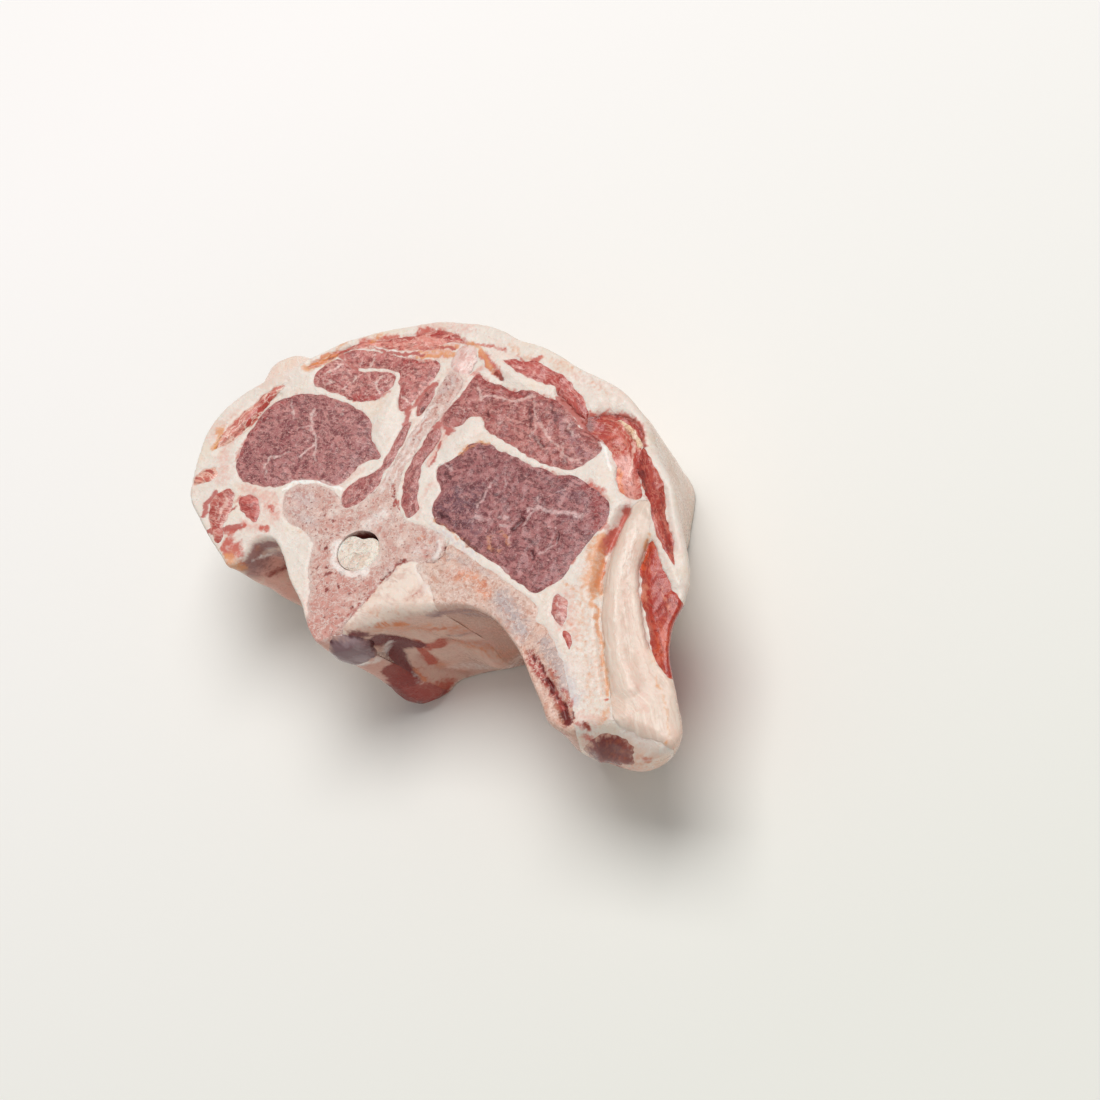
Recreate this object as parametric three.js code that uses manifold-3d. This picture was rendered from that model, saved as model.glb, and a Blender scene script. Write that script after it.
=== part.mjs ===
// A raw double rib chop of lamb, sawn across the saddle through one vertebra.
//
// Every tissue runs through the whole chop, so each solid is a slice of the same section: a leaf-shaped
// outline between two tips, swept from the shown cut face down to the cut it lies on. The section is
// drawn in millimetres from the middle of the spinal canal, +X towards the right flank and +Y towards
// the back fat. Muscles and bones are cut to the chop's own envelope, and the fat is what is left.
import * as THREE from 'three';
import Module from 'manifold-3d';

const wasm = await Module();
wasm.setup();

// Driving dimensions, in millimetres.
const chopThickness = 41;
const pieceGap = 0.3;
const pieceGapBelow = 0.4;
const rimRound = 0.8;
const facetLength = 3.6;
const sharpestCosine = 0.35;
const canalRadius = 6.1;
const canalSides = 24;
const cordRadius = 5;
const cordOffset = [0.55, -0.6];

// How the section slides from the shown face to the hidden one.
const backboneShift = 12;
const backboneCentreX = 5;
const backboneReach = 45;
const flankLean = 0.42;
const flankLeanStartX = 55;
const flankBend = 4;
const liftAtBack = 4;
const liftPerHeight = 0.11;
const liftReferenceY = 30;
const sideHollow = { x: 98, y: 26, radiusX: 40, radiusY: 31, shiftX: -8, shiftY: -3 };

// Where the wall stands out or in: a loose flap of fat on the upper left, the swollen foot of the
// vertebra, the rounded end of the right flank and the waist above it.
const wallSwells = [
  { x: -51.5, y: 42, radius: 8.5, reach: 10, deepest: 7, fade: 20 },
  { x: 3, y: -27, radius: 8, reach: 3, deepest: 32, fade: 60 },
  { x: 97, y: -23, radius: 14, reach: 7, deepest: 13, fade: 34 },
  { x: 93, y: 10, radius: 18, reach: -3, deepest: 40, fade: 90 },
];
const swellEdge = 4;

const colours = {
  fat: 0xeadfd2,
  looseFat: 0xe8d3bb,
  loin: 0x8d5b5c,
  blade: 0x96595a,
  strip: 0xb2524b,
  flank: 0xa8423a,
  bone: 0xd9bfae,
  rib: 0xbdaaa5,
  gristle: 0xe2cdc6,
  cord: 0xf0e8e0,
  disc: 0x8f8488,
};

const piece = (colour, from, to, belly, back) => ({ colour, from, to, belly, back });

// The whole section. The belly edge and the back edge both run from the left tip to the right tip.
const envelopeLeaf = piece('fat', [-63.4, 17], [111.8, -17], [
  [-61.8, 10.5], [-59.6, 4], [-56.5, -2], [-50.5, -6.4], [-44.5, -10.5], [-38.5, -14], [-33.4, -16.6],
  [-30.9, -13.5], [-29.4, -7.3], [-25.5, -5.2], [-20.5, -8.2], [-14.5, -14], [-7.5, -19], [-1, -25],
  [4, -27.7], [7.2, -25], [10.5, -20.5], [17, -15.4], [25, -11], [32, -6.8], [38.5, -4.5],
  [46, -4.9], [53, -7.8], [60, -12], [66, -17], [72, -22], [77, -26.2], [83, -27],
  [88.5, -24.4], [95, -22.5], [102, -22.4], [108, -22.7], [111.4, -20.8],
], [
  [-62.8, 24.4], [-59.6, 32], [-54.6, 38], [-49, 43.5], [-45.5, 49.2], [-40.5, 55.4], [-34.5, 60.3],
  [-28.5, 64.1], [-22, 67.4], [-15.5, 70.3], [-8.5, 71.8], [-2.5, 73], [3.5, 73], [10, 71.8],
  [17, 71.8], [24, 70.8], [31, 69], [38, 68.2], [45, 67], [51.5, 64.4], [57.5, 60.8],
  [63, 55.5], [68.6, 50.4], [73.3, 46.9], [77.6, 41.9], [82.6, 35.8], [87.6, 30.6], [91.4, 24.4],
  [92.6, 17], [92.6, 9.6], [95.6, 1.2], [101.6, -5.3], [107.8, -11.6],
]);

// Muscles, each from its first tip to its last, with one long edge after the other.
const muscleLeaves = {
  loin_eye_left: piece('loin', [-50.6, 21], [-9.2, 27.2], [
    [-49.6, 14.5], [-47.2, 9.6], [-43, 7.6], [-37.5, 7.9], [-32.3, 9.4], [-28.6, 12.7], [-23, 14.8],
    [-17, 14.9], [-14.6, 18.5], [-13.2, 23.8],
  ], [
    [-50.2, 29], [-47.3, 33.4], [-42, 37.2], [-36, 38.8], [-29.5, 38.6], [-24, 38.5], [-20, 37.6],
    [-17, 34.4], [-14.6, 30.8], [-11.6, 29],
  ]),
  loin_eye_right: piece('loin', [8.4, 28.4], [62.3, 30.4], [
    [10, 25.8], [13.2, 23.6], [13.3, 19.8], [15.2, 15.6], [20, 14.2], [26, 12.8], [31, 10.7],
    [37, 9.3], [43, 8.2], [49, 6.4], [54.6, 5.5], [58, 9.3], [59.6, 14.5], [61, 24],
  ], [
    [10.5, 31.8], [12.9, 35.2], [15.2, 38.8], [18.5, 39.8], [23, 39.5], [28, 38.8], [33, 38.3],
    [38, 38.2], [43, 38.2], [47.5, 39], [52.5, 37.9], [56.5, 36.9], [60, 35.3], [61.4, 33],
  ]),
  blade_lower_left: piece('blade', [-41.3, 43.6], [-17, 47.6], [
    [-40.2, 40.9], [-36.5, 40.2], [-31, 40.2], [-26.5, 40], [-22.5, 41.2], [-19.8, 42.5], [-18.3, 45.2],
  ], [
    [-40.4, 47.3], [-38, 49.7], [-34, 49.2], [-30.5, 48.5], [-26, 50.1], [-21.5, 50.9], [-18.2, 50.3],
  ]),
  blade_upper_left: piece('blade', [-37.4, 52.2], [-10.8, 41.4], [
    [-34.6, 50.3], [-30.5, 49.6], [-26, 51.2], [-21.5, 52], [-18.1, 51.4], [-16.5, 49], [-15.3, 47.9],
    [-14.2, 46.6], [-13, 43.8],
  ], [
    [-35, 53.8], [-30, 55.1], [-24, 56.4], [-18, 56.2], [-12.5, 57.4], [-8.6, 58.6], [-6.5, 54.5],
    [-7.6, 50], [-9, 45.5],
  ]),
  blade_right: piece('blade', [2.2, 46], [49.9, 48.4], [
    [2.2, 42.9], [5, 41.2], [7.9, 42.6], [9.3, 45.8], [12.3, 47], [15, 44.5], [19, 42.9],
    [25, 42.2], [31, 40.7], [37, 39.8], [42.5, 39.9], [46.6, 41.4], [48.8, 44.6],
  ], [
    [3.2, 50.5], [3.9, 55], [5, 58.1], [9.3, 56.9], [13.5, 56.9], [18, 57], [22.5, 58.2],
    [27, 58.2], [31.5, 57.5], [35.8, 56], [39.8, 53.7], [43.8, 52], [47.8, 50.9],
  ]),
  spine_strip_left: piece('blade', [-6.6, 39.4], [-10.6, 9.9], [
    [-7.9, 36.5], [-7.6, 31], [-7.3, 26], [-9, 22], [-11.7, 19], [-13.3, 15], [-12.8, 11.5],
  ], [
    [-5.7, 36.5], [-5.2, 31], [-5.2, 26], [-5.3, 22], [-5.4, 18], [-6.6, 14.6], [-8.4, 11.3],
  ]),
  spine_strip_right: piece('blade', [2.2, 40.2], [8.4, 13.1], [
    [0.6, 38], [0.2, 34], [0, 29], [0.7, 24.5], [2, 20.8], [3.6, 17.6], [5.6, 14.8],
  ], [
    [4.2, 38.8], [4.4, 34.5], [3.6, 29.5], [4.8, 25.4], [6.7, 21.8], [8.6, 18.6], [10, 15.3],
  ]),
  spine_strip_upper: piece('blade', [-4.9, 52], [-5.9, 41.3], [
    [-6.5, 50], [-7.2, 46.8], [-7.4, 43.4],
  ], [
    [-4.4, 49.5], [-4.5, 46], [-4.5, 43],
  ]),
  back_strip_left: piece('strip', [-4.4, 65.9], [-45, 45], [
    [-8, 67.3], [-11.5, 67.7], [-15.5, 66.3], [-19.5, 63.8], [-24.5, 61.9], [-29, 59], [-33.5, 57],
    [-37.5, 54.2], [-40.7, 50.6], [-43.6, 47.4],
  ], [
    [-8, 64.6], [-12, 62.4], [-15.8, 60.5], [-19.5, 59], [-24.5, 58], [-29, 57], [-33.3, 55.4],
    [-37, 53], [-39.6, 49.6], [-42.5, 45.6],
  ]),
  back_strip_right: piece('strip', [9.2, 64.4], [41.3, 55.6], [
    [12, 63], [16.5, 62], [22, 61.7], [27, 61.5], [30, 59.9], [34, 58.4], [38, 56.2],
  ], [
    [12.5, 65.6], [16, 66.1], [19.5, 67], [24.5, 66], [29.5, 65], [34, 62.7], [38.5, 60],
  ]),
  side_strip_left: piece('strip', [-48.3, 37.6], [-58.2, 13.8], [
    [-51, 36], [-53.5, 32], [-55.2, 28.5], [-56.6, 24.5], [-58, 20.5], [-59, 16.5],
  ], [
    [-49.3, 34.8], [-50.4, 32], [-51.6, 28], [-52.2, 24], [-53.6, 19.8], [-55.8, 16],
  ]),
  side_strip_right: piece('strip', [60.8, 53.2], [86.8, 24], [
    [63.5, 50.9], [67, 48.5], [70.5, 46], [73.2, 42.6], [75.5, 38.8], [78.6, 35.2], [82, 31.2],
    [84.8, 27.6],
  ], [
    [61.2, 49.8], [62.4, 46.4], [65.5, 43], [68.6, 40.2], [72, 38], [74.3, 34.6], [78, 30.8],
    [82.3, 27],
  ]),
  seam_fat: piece('looseFat', [48.6, 58.2], [60, 53], [
    [51.2, 57.2], [54, 55.9], [56.5, 54.3], [58.6, 52.9],
  ], [
    [51, 58.6], [54, 57.7], [57, 56.2], [59.3, 54.5],
  ]),
  flank_inner_right: piece('flank', [41.4, 55.3], [68.4, 38.9], [
    [43, 53], [46.5, 51.8], [50, 50.5], [53, 48.8], [55.5, 46.4], [57.8, 43.2], [60.8, 40],
    [64.8, 38],
  ], [
    [43.5, 57.7], [48, 59.4], [53, 59.6], [57, 57.6], [59.6, 54.2], [61.4, 50.5], [62.6, 46.6],
    [66, 42.2],
  ]),
  flank_lower_right: piece('flank', [77.3, 28.6], [102, -3.6], [
    [77.4, 24.8], [78.8, 20.3], [81.7, 15.3], [85.5, 10.2], [89.5, 5.2], [93.5, 0.8], [97.5, -2.4],
  ], [
    [81, 26], [84.6, 22.3], [88.5, 19], [93, 16.4], [99, 15], [103, 9], [105, 2],
  ]),
  flank_outer_left: piece('strip', [-52.4, 7.4], [-57.2, 1.8], [
    [-54.5, 8.1], [-56.8, 7.2], [-57.9, 5],
  ], [
    [-53.6, 5.6], [-55.1, 3.5], [-56, 2.6],
  ]),
  flank_main_left: piece('strip', [-46.5, 4.2], [-40.2, -11], [
    [-48.6, 2.4], [-49.2, -0.8], [-48.4, -3.6], [-46.3, -6.4], [-43.8, -8.8], [-41.8, -10.6],
  ], [
    [-44, 3.3], [-42.8, 0], [-41.8, -3.5], [-42, -6.3], [-40.6, -8.4], [-39.8, -9.8],
  ]),
  flank_small_left: piece('strip', [-41.2, 2.6], [-32.6, -2.2], [
    [-40.4, 0.6], [-38.3, -0.7], [-36, -1.7], [-34.2, -2.4],
  ], [
    [-39.8, 4], [-37.3, 4.1], [-35, 2.6], [-33.4, -0.2],
  ]),
  rib_meat_upper: piece('strip', [60, 7], [66.4, -1], [
    [60.4, 4], [61.6, 1.7], [63.6, -0.2],
  ], [
    [62.6, 6.6], [65.3, 4.3], [66.6, 1.6],
  ]),
  rib_meat_lower: piece('strip', [67.6, -2], [71.8, -6.2], [
    [68.6, -3.4], [70, -4.9],
  ], [
    [69.8, -2.3], [71.3, -3.8],
  ]),
};

// Bones and gristle, listed after the muscles that lie in their notches.
const boneLeaves = {
  spine_tip: piece('gristle', [-1, 57], [-1.3, 65.4], [
    [-4, 57.6], [-4.8, 60.5], [-4.4, 63.6],
  ], [
    [2.1, 57.5], [2.5, 60], [1.9, 63],
  ]),
  vertebra: piece('bone', [-29.6, 8.4], [23.6, 7.5], [
    [-28.1, 4.5], [-24, 1.4], [-18.5, 0.2], [-14, -1.5], [-11.7, -6], [-9.8, -10.5], [-6.4, -16],
    [-3, -22], [1, -29.5], [6, -30], [8.6, -21], [10.4, -12], [11.3, -6.5], [12.4, -2.5],
    [15, 1], [19.5, 3], [22.8, 4.3],
  ], [
    [-27.6, 11.4], [-23.5, 13.1], [-18, 13.5], [-14.6, 12.5], [-12, 11.6], [-9.5, 12.2], [-7.3, 14],
    [-5.6, 16.5], [-4.2, 19], [-1.8, 20], [0.6, 19.4], [3, 16.8], [5.5, 14.2],
    [8.5, 12.6], [12, 12.4], [17, 12.6], [21.5, 11.2],
  ]),
  rib_neck: piece('rib', [18.4, 1.2], [59, -4.5], [
    [21.5, -1.2], [27, -3.6], [32, -9.5], [39, -9.5], [46, -9.5], [52, -12.5], [56.5, -16],
  ], [
    [22, 7.5], [25.2, 10], [31, 8.6], [37, 7.4], [43, 6.2], [50, 4.3], [56.5, 2],
  ]),
  rib_right: piece('rib', [58.4, -2.6], [85.4, -29], [
    [57.6, -8], [59, -16.5], [64, -22], [68.5, -26.5], [73.5, -30.5], [78.5, -33],
  ], [
    [61.8, -2.4], [66, -5.2], [70.2, -8.8], [74.3, -12.4], [78.4, -17.2], [82.4, -22.5],
  ]),
  fascia_fold: piece('fat', [70.2, 38.8], [111, -20.8], [
    [67, 36], [66.9, 31], [67.9, 25.5], [69.6, 19.2], [72.2, 12], [75.6, 4.8], [79.8, -1.8],
    [84.2, -7.8], [87.6, -12.4], [90.2, -16.4], [93.6, -19.6], [101, -20.6],
  ], [
    [73, 36], [75.3, 32], [76.7, 27], [78, 21.5], [80.7, 15.8], [84.6, 10.5], [88.6, 5.2],
    [93.2, 0.8], [99, -3.2], [112, -6], [117, -14], [116.5, -19.5],
  ]),
};

// The upright process of the vertebra, joined to it, and the knots of tissue set into the side walls.
const spineColumn = piece('bone', [-2.2, 10], [-1, 56.4], [
  [-4.7, 13], [-4.7, 21], [-4.6, 26], [-4.7, 31], [-4.8, 36], [-4, 41], [-3.9, 46], [-3.8, 55.2],
], [
  [2.4, 14], [0.6, 21], [-0.4, 26], [-0.5, 31], [-0.2, 36], [0.6, 41], [1.5, 46], [1.9, 55.2],
]);
const archSplit = piece('fat', [8, -22], [36, -12], [
  [14, -30], [26, -24],
], [
  [11, -2], [20, 2.5],
]);
const disc = {
  colour: 'disc', x: 6.2, radiusX: 4.8, depth: 7.2, radiusDepth: 6.4, fromY: -40, toY: -17,
};
const flankMeat = {
  colour: 'loin', x: 93.5, radiusX: 7.6, depth: 6.6, radiusDepth: 4.8, fromY: -40, toY: -18,
};

// Slides a point of the section to where it lies at a depth under the shown face.
function place([x, y], depth) {
  const fraction = depth / chopThickness;
  const spineSlide = backboneShift * Math.exp(-(((x - backboneCentreX) / backboneReach) ** 2));
  const past = (x - flankLeanStartX) / flankBend;
  const flankSlide = flankLean * flankBend * Math.log1p(Math.exp(past));
  const lift = liftAtBack + liftPerHeight * (liftReferenceY - y);
  const [awayX, awayY] = [(x - sideHollow.x) / sideHollow.radiusX, (y - sideHollow.y) / sideHollow.radiusY];
  const sunk = Math.exp(-(awayX ** 2 + awayY ** 2));
  return [
    x + fraction * (spineSlide - flankSlide + sunk * sideHollow.shiftX),
    y + fraction * (lift + sunk * sideHollow.shiftY),
    chopThickness - depth,
  ];
}

// How far the wall stands out at a point of the section and a depth.
function wallSwell([x, y], depth) {
  return wallSwells.reduce((total, swell) => {
    const away = Math.hypot(x - swell.x, y - swell.y) / swell.radius;
    const near = Math.exp(-(away ** swellEdge));
    const rise = THREE.MathUtils.smoothstep(depth, 0, swell.deepest);
    const fall = 1 - THREE.MathUtils.smoothstep(depth, swell.deepest, swell.fade);
    return total + swell.reach * near * rise * fall;
  }, 0);
}

// A closed smooth curve through the leaf's tips and edges, with steps of about one facet length.
function outline({ from, to, belly, back }) {
  const loop = [from, ...belly, to, ...back.toReversed()];
  const curve = new THREE.CatmullRomCurve3(loop.map(([x, y]) => new THREE.Vector3(x, y, 0)), true);
  const points = [];
  loop.forEach(([x, y], index) => {
    const [nextX, nextY] = loop[(index + 1) % loop.length];
    const steps = Math.max(1, Math.round(Math.hypot(nextX - x, nextY - y) / facetLength));
    for (let step = 0; step < steps; step += 1) {
      const spot = curve.getPoint((index + step / steps) / loop.length);
      points.push(new THREE.Vector2(spot.x, spot.y));
    }
  });
  return THREE.ShapeUtils.isClockWise(points) ? points.reverse() : points;
}

// The outline moved outwards by a distance that depends on the point, with its corners kept sharp.
function offset(points, distanceAt) {
  return points.map((point, index) => {
    const before = points[(index + points.length - 1) % points.length];
    const after = points[(index + 1) % points.length];
    const into = point.clone().sub(before).normalize();
    const onward = after.clone().sub(point).normalize();
    const along = into.clone().add(onward).normalize();
    const distance = distanceAt(point) / Math.max(sharpestCosine, along.dot(onward));
    return new THREE.Vector2(point.x + along.y * distance, point.y - along.x * distance);
  });
}

// A closed solid through rings of points, listed from the top of the solid to its bottom.
function solidThrough(rings, capContour) {
  const count = capContour.length;
  const caps = THREE.ShapeUtils.triangulateShape(capContour, []);
  const triangles = [];
  caps.forEach(([a, b, c]) => {
    const last = (rings.length - 1) * count;
    triangles.push(a, b, c, last + a, last + c, last + b);
  });
  for (let ring = 0; ring < rings.length - 1; ring += 1) {
    for (let index = 0; index < count; index += 1) {
      const next = (index + 1) % count;
      const [a, b] = [ring * count + index, ring * count + next];
      triangles.push(a, a + count, b, b, a + count, b + count);
    }
  }
  return new wasm.Manifold(new wasm.Mesh({
    numProp: 3,
    vertProperties: new Float32Array(rings.flat(2)),
    triVerts: new Uint32Array(triangles),
  }));
}

// Sweeps an outline through the chop; each level has a depth and a distance that it stands out.
function sweep(points, levels) {
  const rings = levels.map(({ depth, out = () => 0 }) => (
    offset(points, (point) => out(point, depth)).map(({ x, y }) => place([x, y], depth))
  ));
  return solidThrough(rings, points);
}

// A little over each cut face, so that a cut goes clean through.
const overTop = -2;
const underBottom = chopThickness + 2;

function slice(leaf) {
  return sweep(outline(leaf), [{ depth: overTop }, { depth: underBottom }]);
}

function cutter(leaf) {
  return sweep(outline(leaf), [
    { depth: overTop, out: () => pieceGap },
    { depth: underBottom, out: () => pieceGapBelow },
  ]);
}

// An oval post that runs into the wall along Y, with its section given by X and depth.
function post({ x, radiusX, depth, radiusDepth, fromY, toY }, gap = 0) {
  const sides = 20;
  const oval = Array.from({ length: sides }, (_, index) => {
    const angle = (index / sides) * 2 * Math.PI;
    return new THREE.Vector2(
      x + (radiusX + gap) * Math.cos(angle),
      depth + (radiusDepth + gap) * Math.sin(angle),
    );
  });
  const ringAt = (y) => oval.map((spot) => place([spot.x, y], spot.y));
  return solidThrough([ringAt(toY + gap), ringAt(fromY)], oval);
}

function roundSlice(centre, radius, topDepth, bottomDepth) {
  const circle = new THREE.EllipseCurve(...centre, radius, radius).getPoints(canalSides).slice(1);
  return sweep(circle, [{ depth: topDepth }, { depth: bottomDepth }]);
}

// Keeps the largest shell of a cut solid, without the crumbs that the cuts leave beside it.
function largestShell(solid) {
  const { vertProperties, triVerts, numVert } = solid.getMesh();
  const root = Array.from({ length: numVert }, (_, index) => index);
  const find = (index) => {
    let top = index;
    while (root[top] !== top) {
      root[top] = root[root[top]];
      top = root[top];
    }
    return top;
  };
  for (let start = 0; start < triVerts.length; start += 3) {
    root[find(triVerts[start + 1])] = find(triVerts[start]);
    root[find(triVerts[start + 2])] = find(triVerts[start]);
  }
  const sizes = new Map();
  triVerts.forEach((vertex) => sizes.set(find(vertex), (sizes.get(find(vertex)) ?? 0) + 1));
  const [largest] = [...sizes].sort((one, other) => other[1] - one[1])[0];
  const kept = Array.from(triVerts).filter((vertex) => find(vertex) === largest);
  const geometry = new THREE.BufferGeometry();
  geometry.setAttribute('position', new THREE.BufferAttribute(new Float32Array(vertProperties), 3));
  geometry.setIndex(kept);
  return geometry;
}

const envelopeOutline = outline(envelopeLeaf);
const envelope = sweep(envelopeOutline, [
  { depth: 0, out: () => -rimRound },
  { depth: rimRound },
  ...[3, 6, 10, 15, 22, 31].map((depth) => ({ depth, out: wallSwell })),
  { depth: chopThickness - rimRound, out: wallSwell },
  { depth: chopThickness, out: (point, depth) => wallSwell(point, depth) - rimRound },
]);

const solids = {};
let fat = envelope;

function addSolid(name, solid, colour, cut) {
  solids[name] = { solid, colour };
  fat = fat.subtract(cut);
}

addSolid('disc', envelope.intersect(post(disc)), disc.colour, post(disc, pieceGap));
addSolid('flank_meat', envelope.intersect(post(flankMeat)), flankMeat.colour, post(flankMeat, pieceGap));
Object.entries({ ...muscleLeaves, ...boneLeaves }).forEach(([name, leaf]) => {
  const isVertebra = name === 'vertebra';
  const whole = isVertebra ? slice(leaf).add(slice(spineColumn)) : slice(leaf);
  const cut = isVertebra ? cutter(leaf).add(cutter(spineColumn)) : cutter(leaf);
  addSolid(name, whole.intersect(fat), leaf.colour, cut);
});
const canal = roundSlice([0, 0], canalRadius, overTop, underBottom);
solids.vertebra.solid = solids.vertebra.solid.subtract(canal);
solids.spinal_cord = { solid: roundSlice(cordOffset, cordRadius, 0, chopThickness), colour: 'cord' };
solids.arch_fat = { solid: fat.intersect(slice(archSplit)), colour: 'fat' };
solids.fat = { solid: fat.subtract(slice(archSplit)), colour: 'fat' };

const chop = new THREE.Group();
Object.entries(solids).forEach(([name, { solid, colour }]) => {
  const material = new THREE.MeshStandardMaterial({ color: colours[colour], roughness: 0.45 });
  const mesh = new THREE.Mesh(largestShell(solid), material);
  mesh.name = name;
  chop.add(mesh);
});

// The origin is the middle of the chop's footprint.
const middle = new THREE.Box3().setFromObject(chop).getCenter(new THREE.Vector3());
chop.position.set(-middle.x, -middle.y, 0);

export default chop;
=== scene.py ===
import bpy
import numpy as np
from mathutils import Matrix, Vector
from mathutils.geometry import delaunay_2d_cdt


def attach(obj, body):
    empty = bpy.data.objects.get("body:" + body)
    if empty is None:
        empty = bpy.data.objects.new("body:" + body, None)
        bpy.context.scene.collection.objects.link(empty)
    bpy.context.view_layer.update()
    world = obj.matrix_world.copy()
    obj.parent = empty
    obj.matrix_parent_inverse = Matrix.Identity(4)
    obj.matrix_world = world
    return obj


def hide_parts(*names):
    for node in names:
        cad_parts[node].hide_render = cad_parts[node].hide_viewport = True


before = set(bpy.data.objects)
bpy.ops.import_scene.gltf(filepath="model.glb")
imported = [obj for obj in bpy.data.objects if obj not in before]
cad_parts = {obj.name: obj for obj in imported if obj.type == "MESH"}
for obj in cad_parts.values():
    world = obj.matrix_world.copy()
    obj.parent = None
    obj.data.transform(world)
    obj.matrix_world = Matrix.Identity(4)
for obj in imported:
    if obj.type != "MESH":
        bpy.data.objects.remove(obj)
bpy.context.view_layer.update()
scene = bpy.context.scene
mm = 0.001

chop = {
    "thickness": 41.0,  # mm, from the shown cut face to the one it lies on
    "middle": (23.646, 22.815),  # mm, the model's origin, measured from the spinal canal
    "facePitch": 0.45,  # mm between points on the cut faces
    "edgePitch": 0.55,  # mm between points along an outline
    "clearance": 0.6,  # pitches that the points on the faces keep from an outline
    "rimRound": 1.0,  # mm, radius of the rim between a cut face and the outer wall
    "wander": 0.7,  # mm that a muscle's outline strays from its smooth curve
    "wanderWaves": [(0.55, 3.4, 0), (0.45, 1.4, 1)],  # share, size in mm and seed of its soft noise
    "wallLevels": 31,  # points down an outer wall
    "innerLevels": [0, 2, 15, 28, 30],  # those of them that the walls between pieces keep
    "onLine": 0.01,  # mm from an outline that still count as on it
    "sharpFrom": 60,  # degrees between two faces that show as an edge
}
thickness = chop["thickness"]


def linear(hexColour):
    # sRGB to linear light: the lower part divided by 12.92, the rest raised to 2.4
    channels = np.array([int(hexColour[i:i + 2], 16) for i in (1, 3, 5)]) / 255
    light = np.where(channels <= 0.04045, channels / 12.92, ((channels + 0.055) / 1.055) ** 2.4)
    return (*light.tolist(), 1.0)


stand = {
    "aim": (28.39, -5.27, 41.0),  # mm, the point in the middle of the frame
    "towards": (0.5097, -0.303, 0.8051),  # from the aim to the camera
    "level": (0.8139, 0.4732, -0.337),  # the frame's own right-hand side
    "distance": 900.0,  # mm
    "lens": 114.87,  # mm on a 36 mm sensor
}


def cameraMatrix(aim, towards, level, distance):
    # three axes at right angles, the third pointing back from the aim, and the place along it
    back = Vector(towards).normalized()
    right = Vector(level)
    right = (right - right.dot(back) * back).normalized()
    place = (Vector(aim) + distance * back) * mm
    return Matrix.Translation(place) @ Matrix((right, back.cross(right), back)).transposed().to_4x4()


cameraData = bpy.data.cameras.new("chopCamera")
cameraData.sensor_width = 36
cameraData.lens = stand["lens"]
camera = bpy.data.objects.new("chopCamera", cameraData)
scene.collection.objects.link(camera)
camera.matrix_world = cameraMatrix(stand["aim"], stand["towards"], stand["level"], stand["distance"])
scene.camera = camera
scene.view_settings.view_transform = "Standard"
print("camera set")


def addNode(tree, kind, settings=None, links=None):
    # one shader node, with its values or properties set and its inputs joined to sockets
    node = tree.nodes.new(kind)
    for name, value in (settings or {}).items():
        if isinstance(name, int) or name in node.inputs:
            node.inputs[name].default_value = value
        else:
            setattr(node, name, value)
    for name, socket in (links or {}).items():
        tree.links.new(node.inputs[name], socket)
    return node


studio = {
    "floorSide": 6.0,  # m
    "floorNearShaded": "#E7E7E0",
    "floorFarLit": "#F5F2F0",
    "floorLightRun": (-1.3, 0.9, 0.0),  # the way the floor's painted light runs: lighter towards the back left
    "floorLightFade": (-0.25, 0.35),  # m along it, from the near, darker painted shade to the far, lighter tone
    "floorRoughness": 0.9,
    "sky": "#FFFFFF",
    "skyStrength": 0.35,
    "lamps": [
        # name, where it stands and what it aims at in m, its side in m, watts, colour
        ("overheadSoftbox", (-0.2, 0.65, 1.9), (0.0, 0.0, 0.0), 1.4, 32.8, "#FFFEFD"),
        ("frontFill", (0.9, -0.9, 0.9), (0.02, 0.0, 0.02), 0.8, 1.6, "#FFFFFF"),
    ],
}


def addLamp(name, place, aim, side, watts, colour):
    # a square softbox that faces its aim
    lamp = bpy.data.lights.new(name, "AREA")
    lamp.shape = "SQUARE"
    lamp.size = side
    lamp.energy = watts
    lamp.color = linear(colour)[:3]
    holder = bpy.data.objects.new(name, lamp)
    holder.location = place
    holder.rotation_euler = (Vector(aim) - Vector(place)).to_track_quat("-Z", "Y").to_euler()
    scene.collection.objects.link(holder)


for lampLine in studio["lamps"]:
    addLamp(*lampLine)

world = bpy.data.worlds.new("softDay")
world.use_nodes = True
world.node_tree.nodes.clear()
sky = addNode(world.node_tree, "ShaderNodeBackground",
              {"Color": linear(studio["sky"]), "Strength": studio["skyStrength"]})
addNode(world.node_tree, "ShaderNodeOutputWorld", {}, {"Surface": sky.outputs[0]})
scene.world = world

half = studio["floorSide"] / 2
floorMesh = bpy.data.meshes.new("floor")
floorMesh.from_pydata([(-half, -half, 0), (half, -half, 0), (half, half, 0), (-half, half, 0)],
                      [], [(0, 1, 2, 3)])
floor = bpy.data.objects.new("floor", floorMesh)
scene.collection.objects.link(floor)
paper = bpy.data.materials.new("mattPaper")  # plain matt paper: no gloss, hardly any texture
paper.use_nodes = True
paperTree = paper.node_tree
paperTree.nodes.clear()
paperPlace = addNode(paperTree, "ShaderNodeTexCoord").outputs["Object"]
# the floor's colour runs from the near tone to the far one: painted light, lighter towards the back left
paperRun = addNode(paperTree, "ShaderNodeVectorMath",
                   {"operation": "DOT_PRODUCT", 1: studio["floorLightRun"]}, {0: paperPlace})
paperShade = addNode(paperTree, "ShaderNodeMapRange",
                     {"From Min": studio["floorLightFade"][0], "From Max": studio["floorLightFade"][1]},
                     {"Value": paperRun.outputs["Value"]})
paperMix = addNode(paperTree, "ShaderNodeMix",
                   {"data_type": "RGBA", 6: linear(studio["floorNearShaded"]), 7: linear(studio["floorFarLit"])},
                   {0: paperShade.outputs[0]})
paperShader = addNode(paperTree, "ShaderNodeBsdfPrincipled",
                      {"Roughness": studio["floorRoughness"], "Specular IOR Level": 0.1},
                      {"Base Color": paperMix.outputs[2]})
addNode(paperTree, "ShaderNodeOutputMaterial", {}, {"Surface": paperShader.outputs[0]})
floorMesh.materials.append(paper)
print("floor and lamps set")


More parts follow.
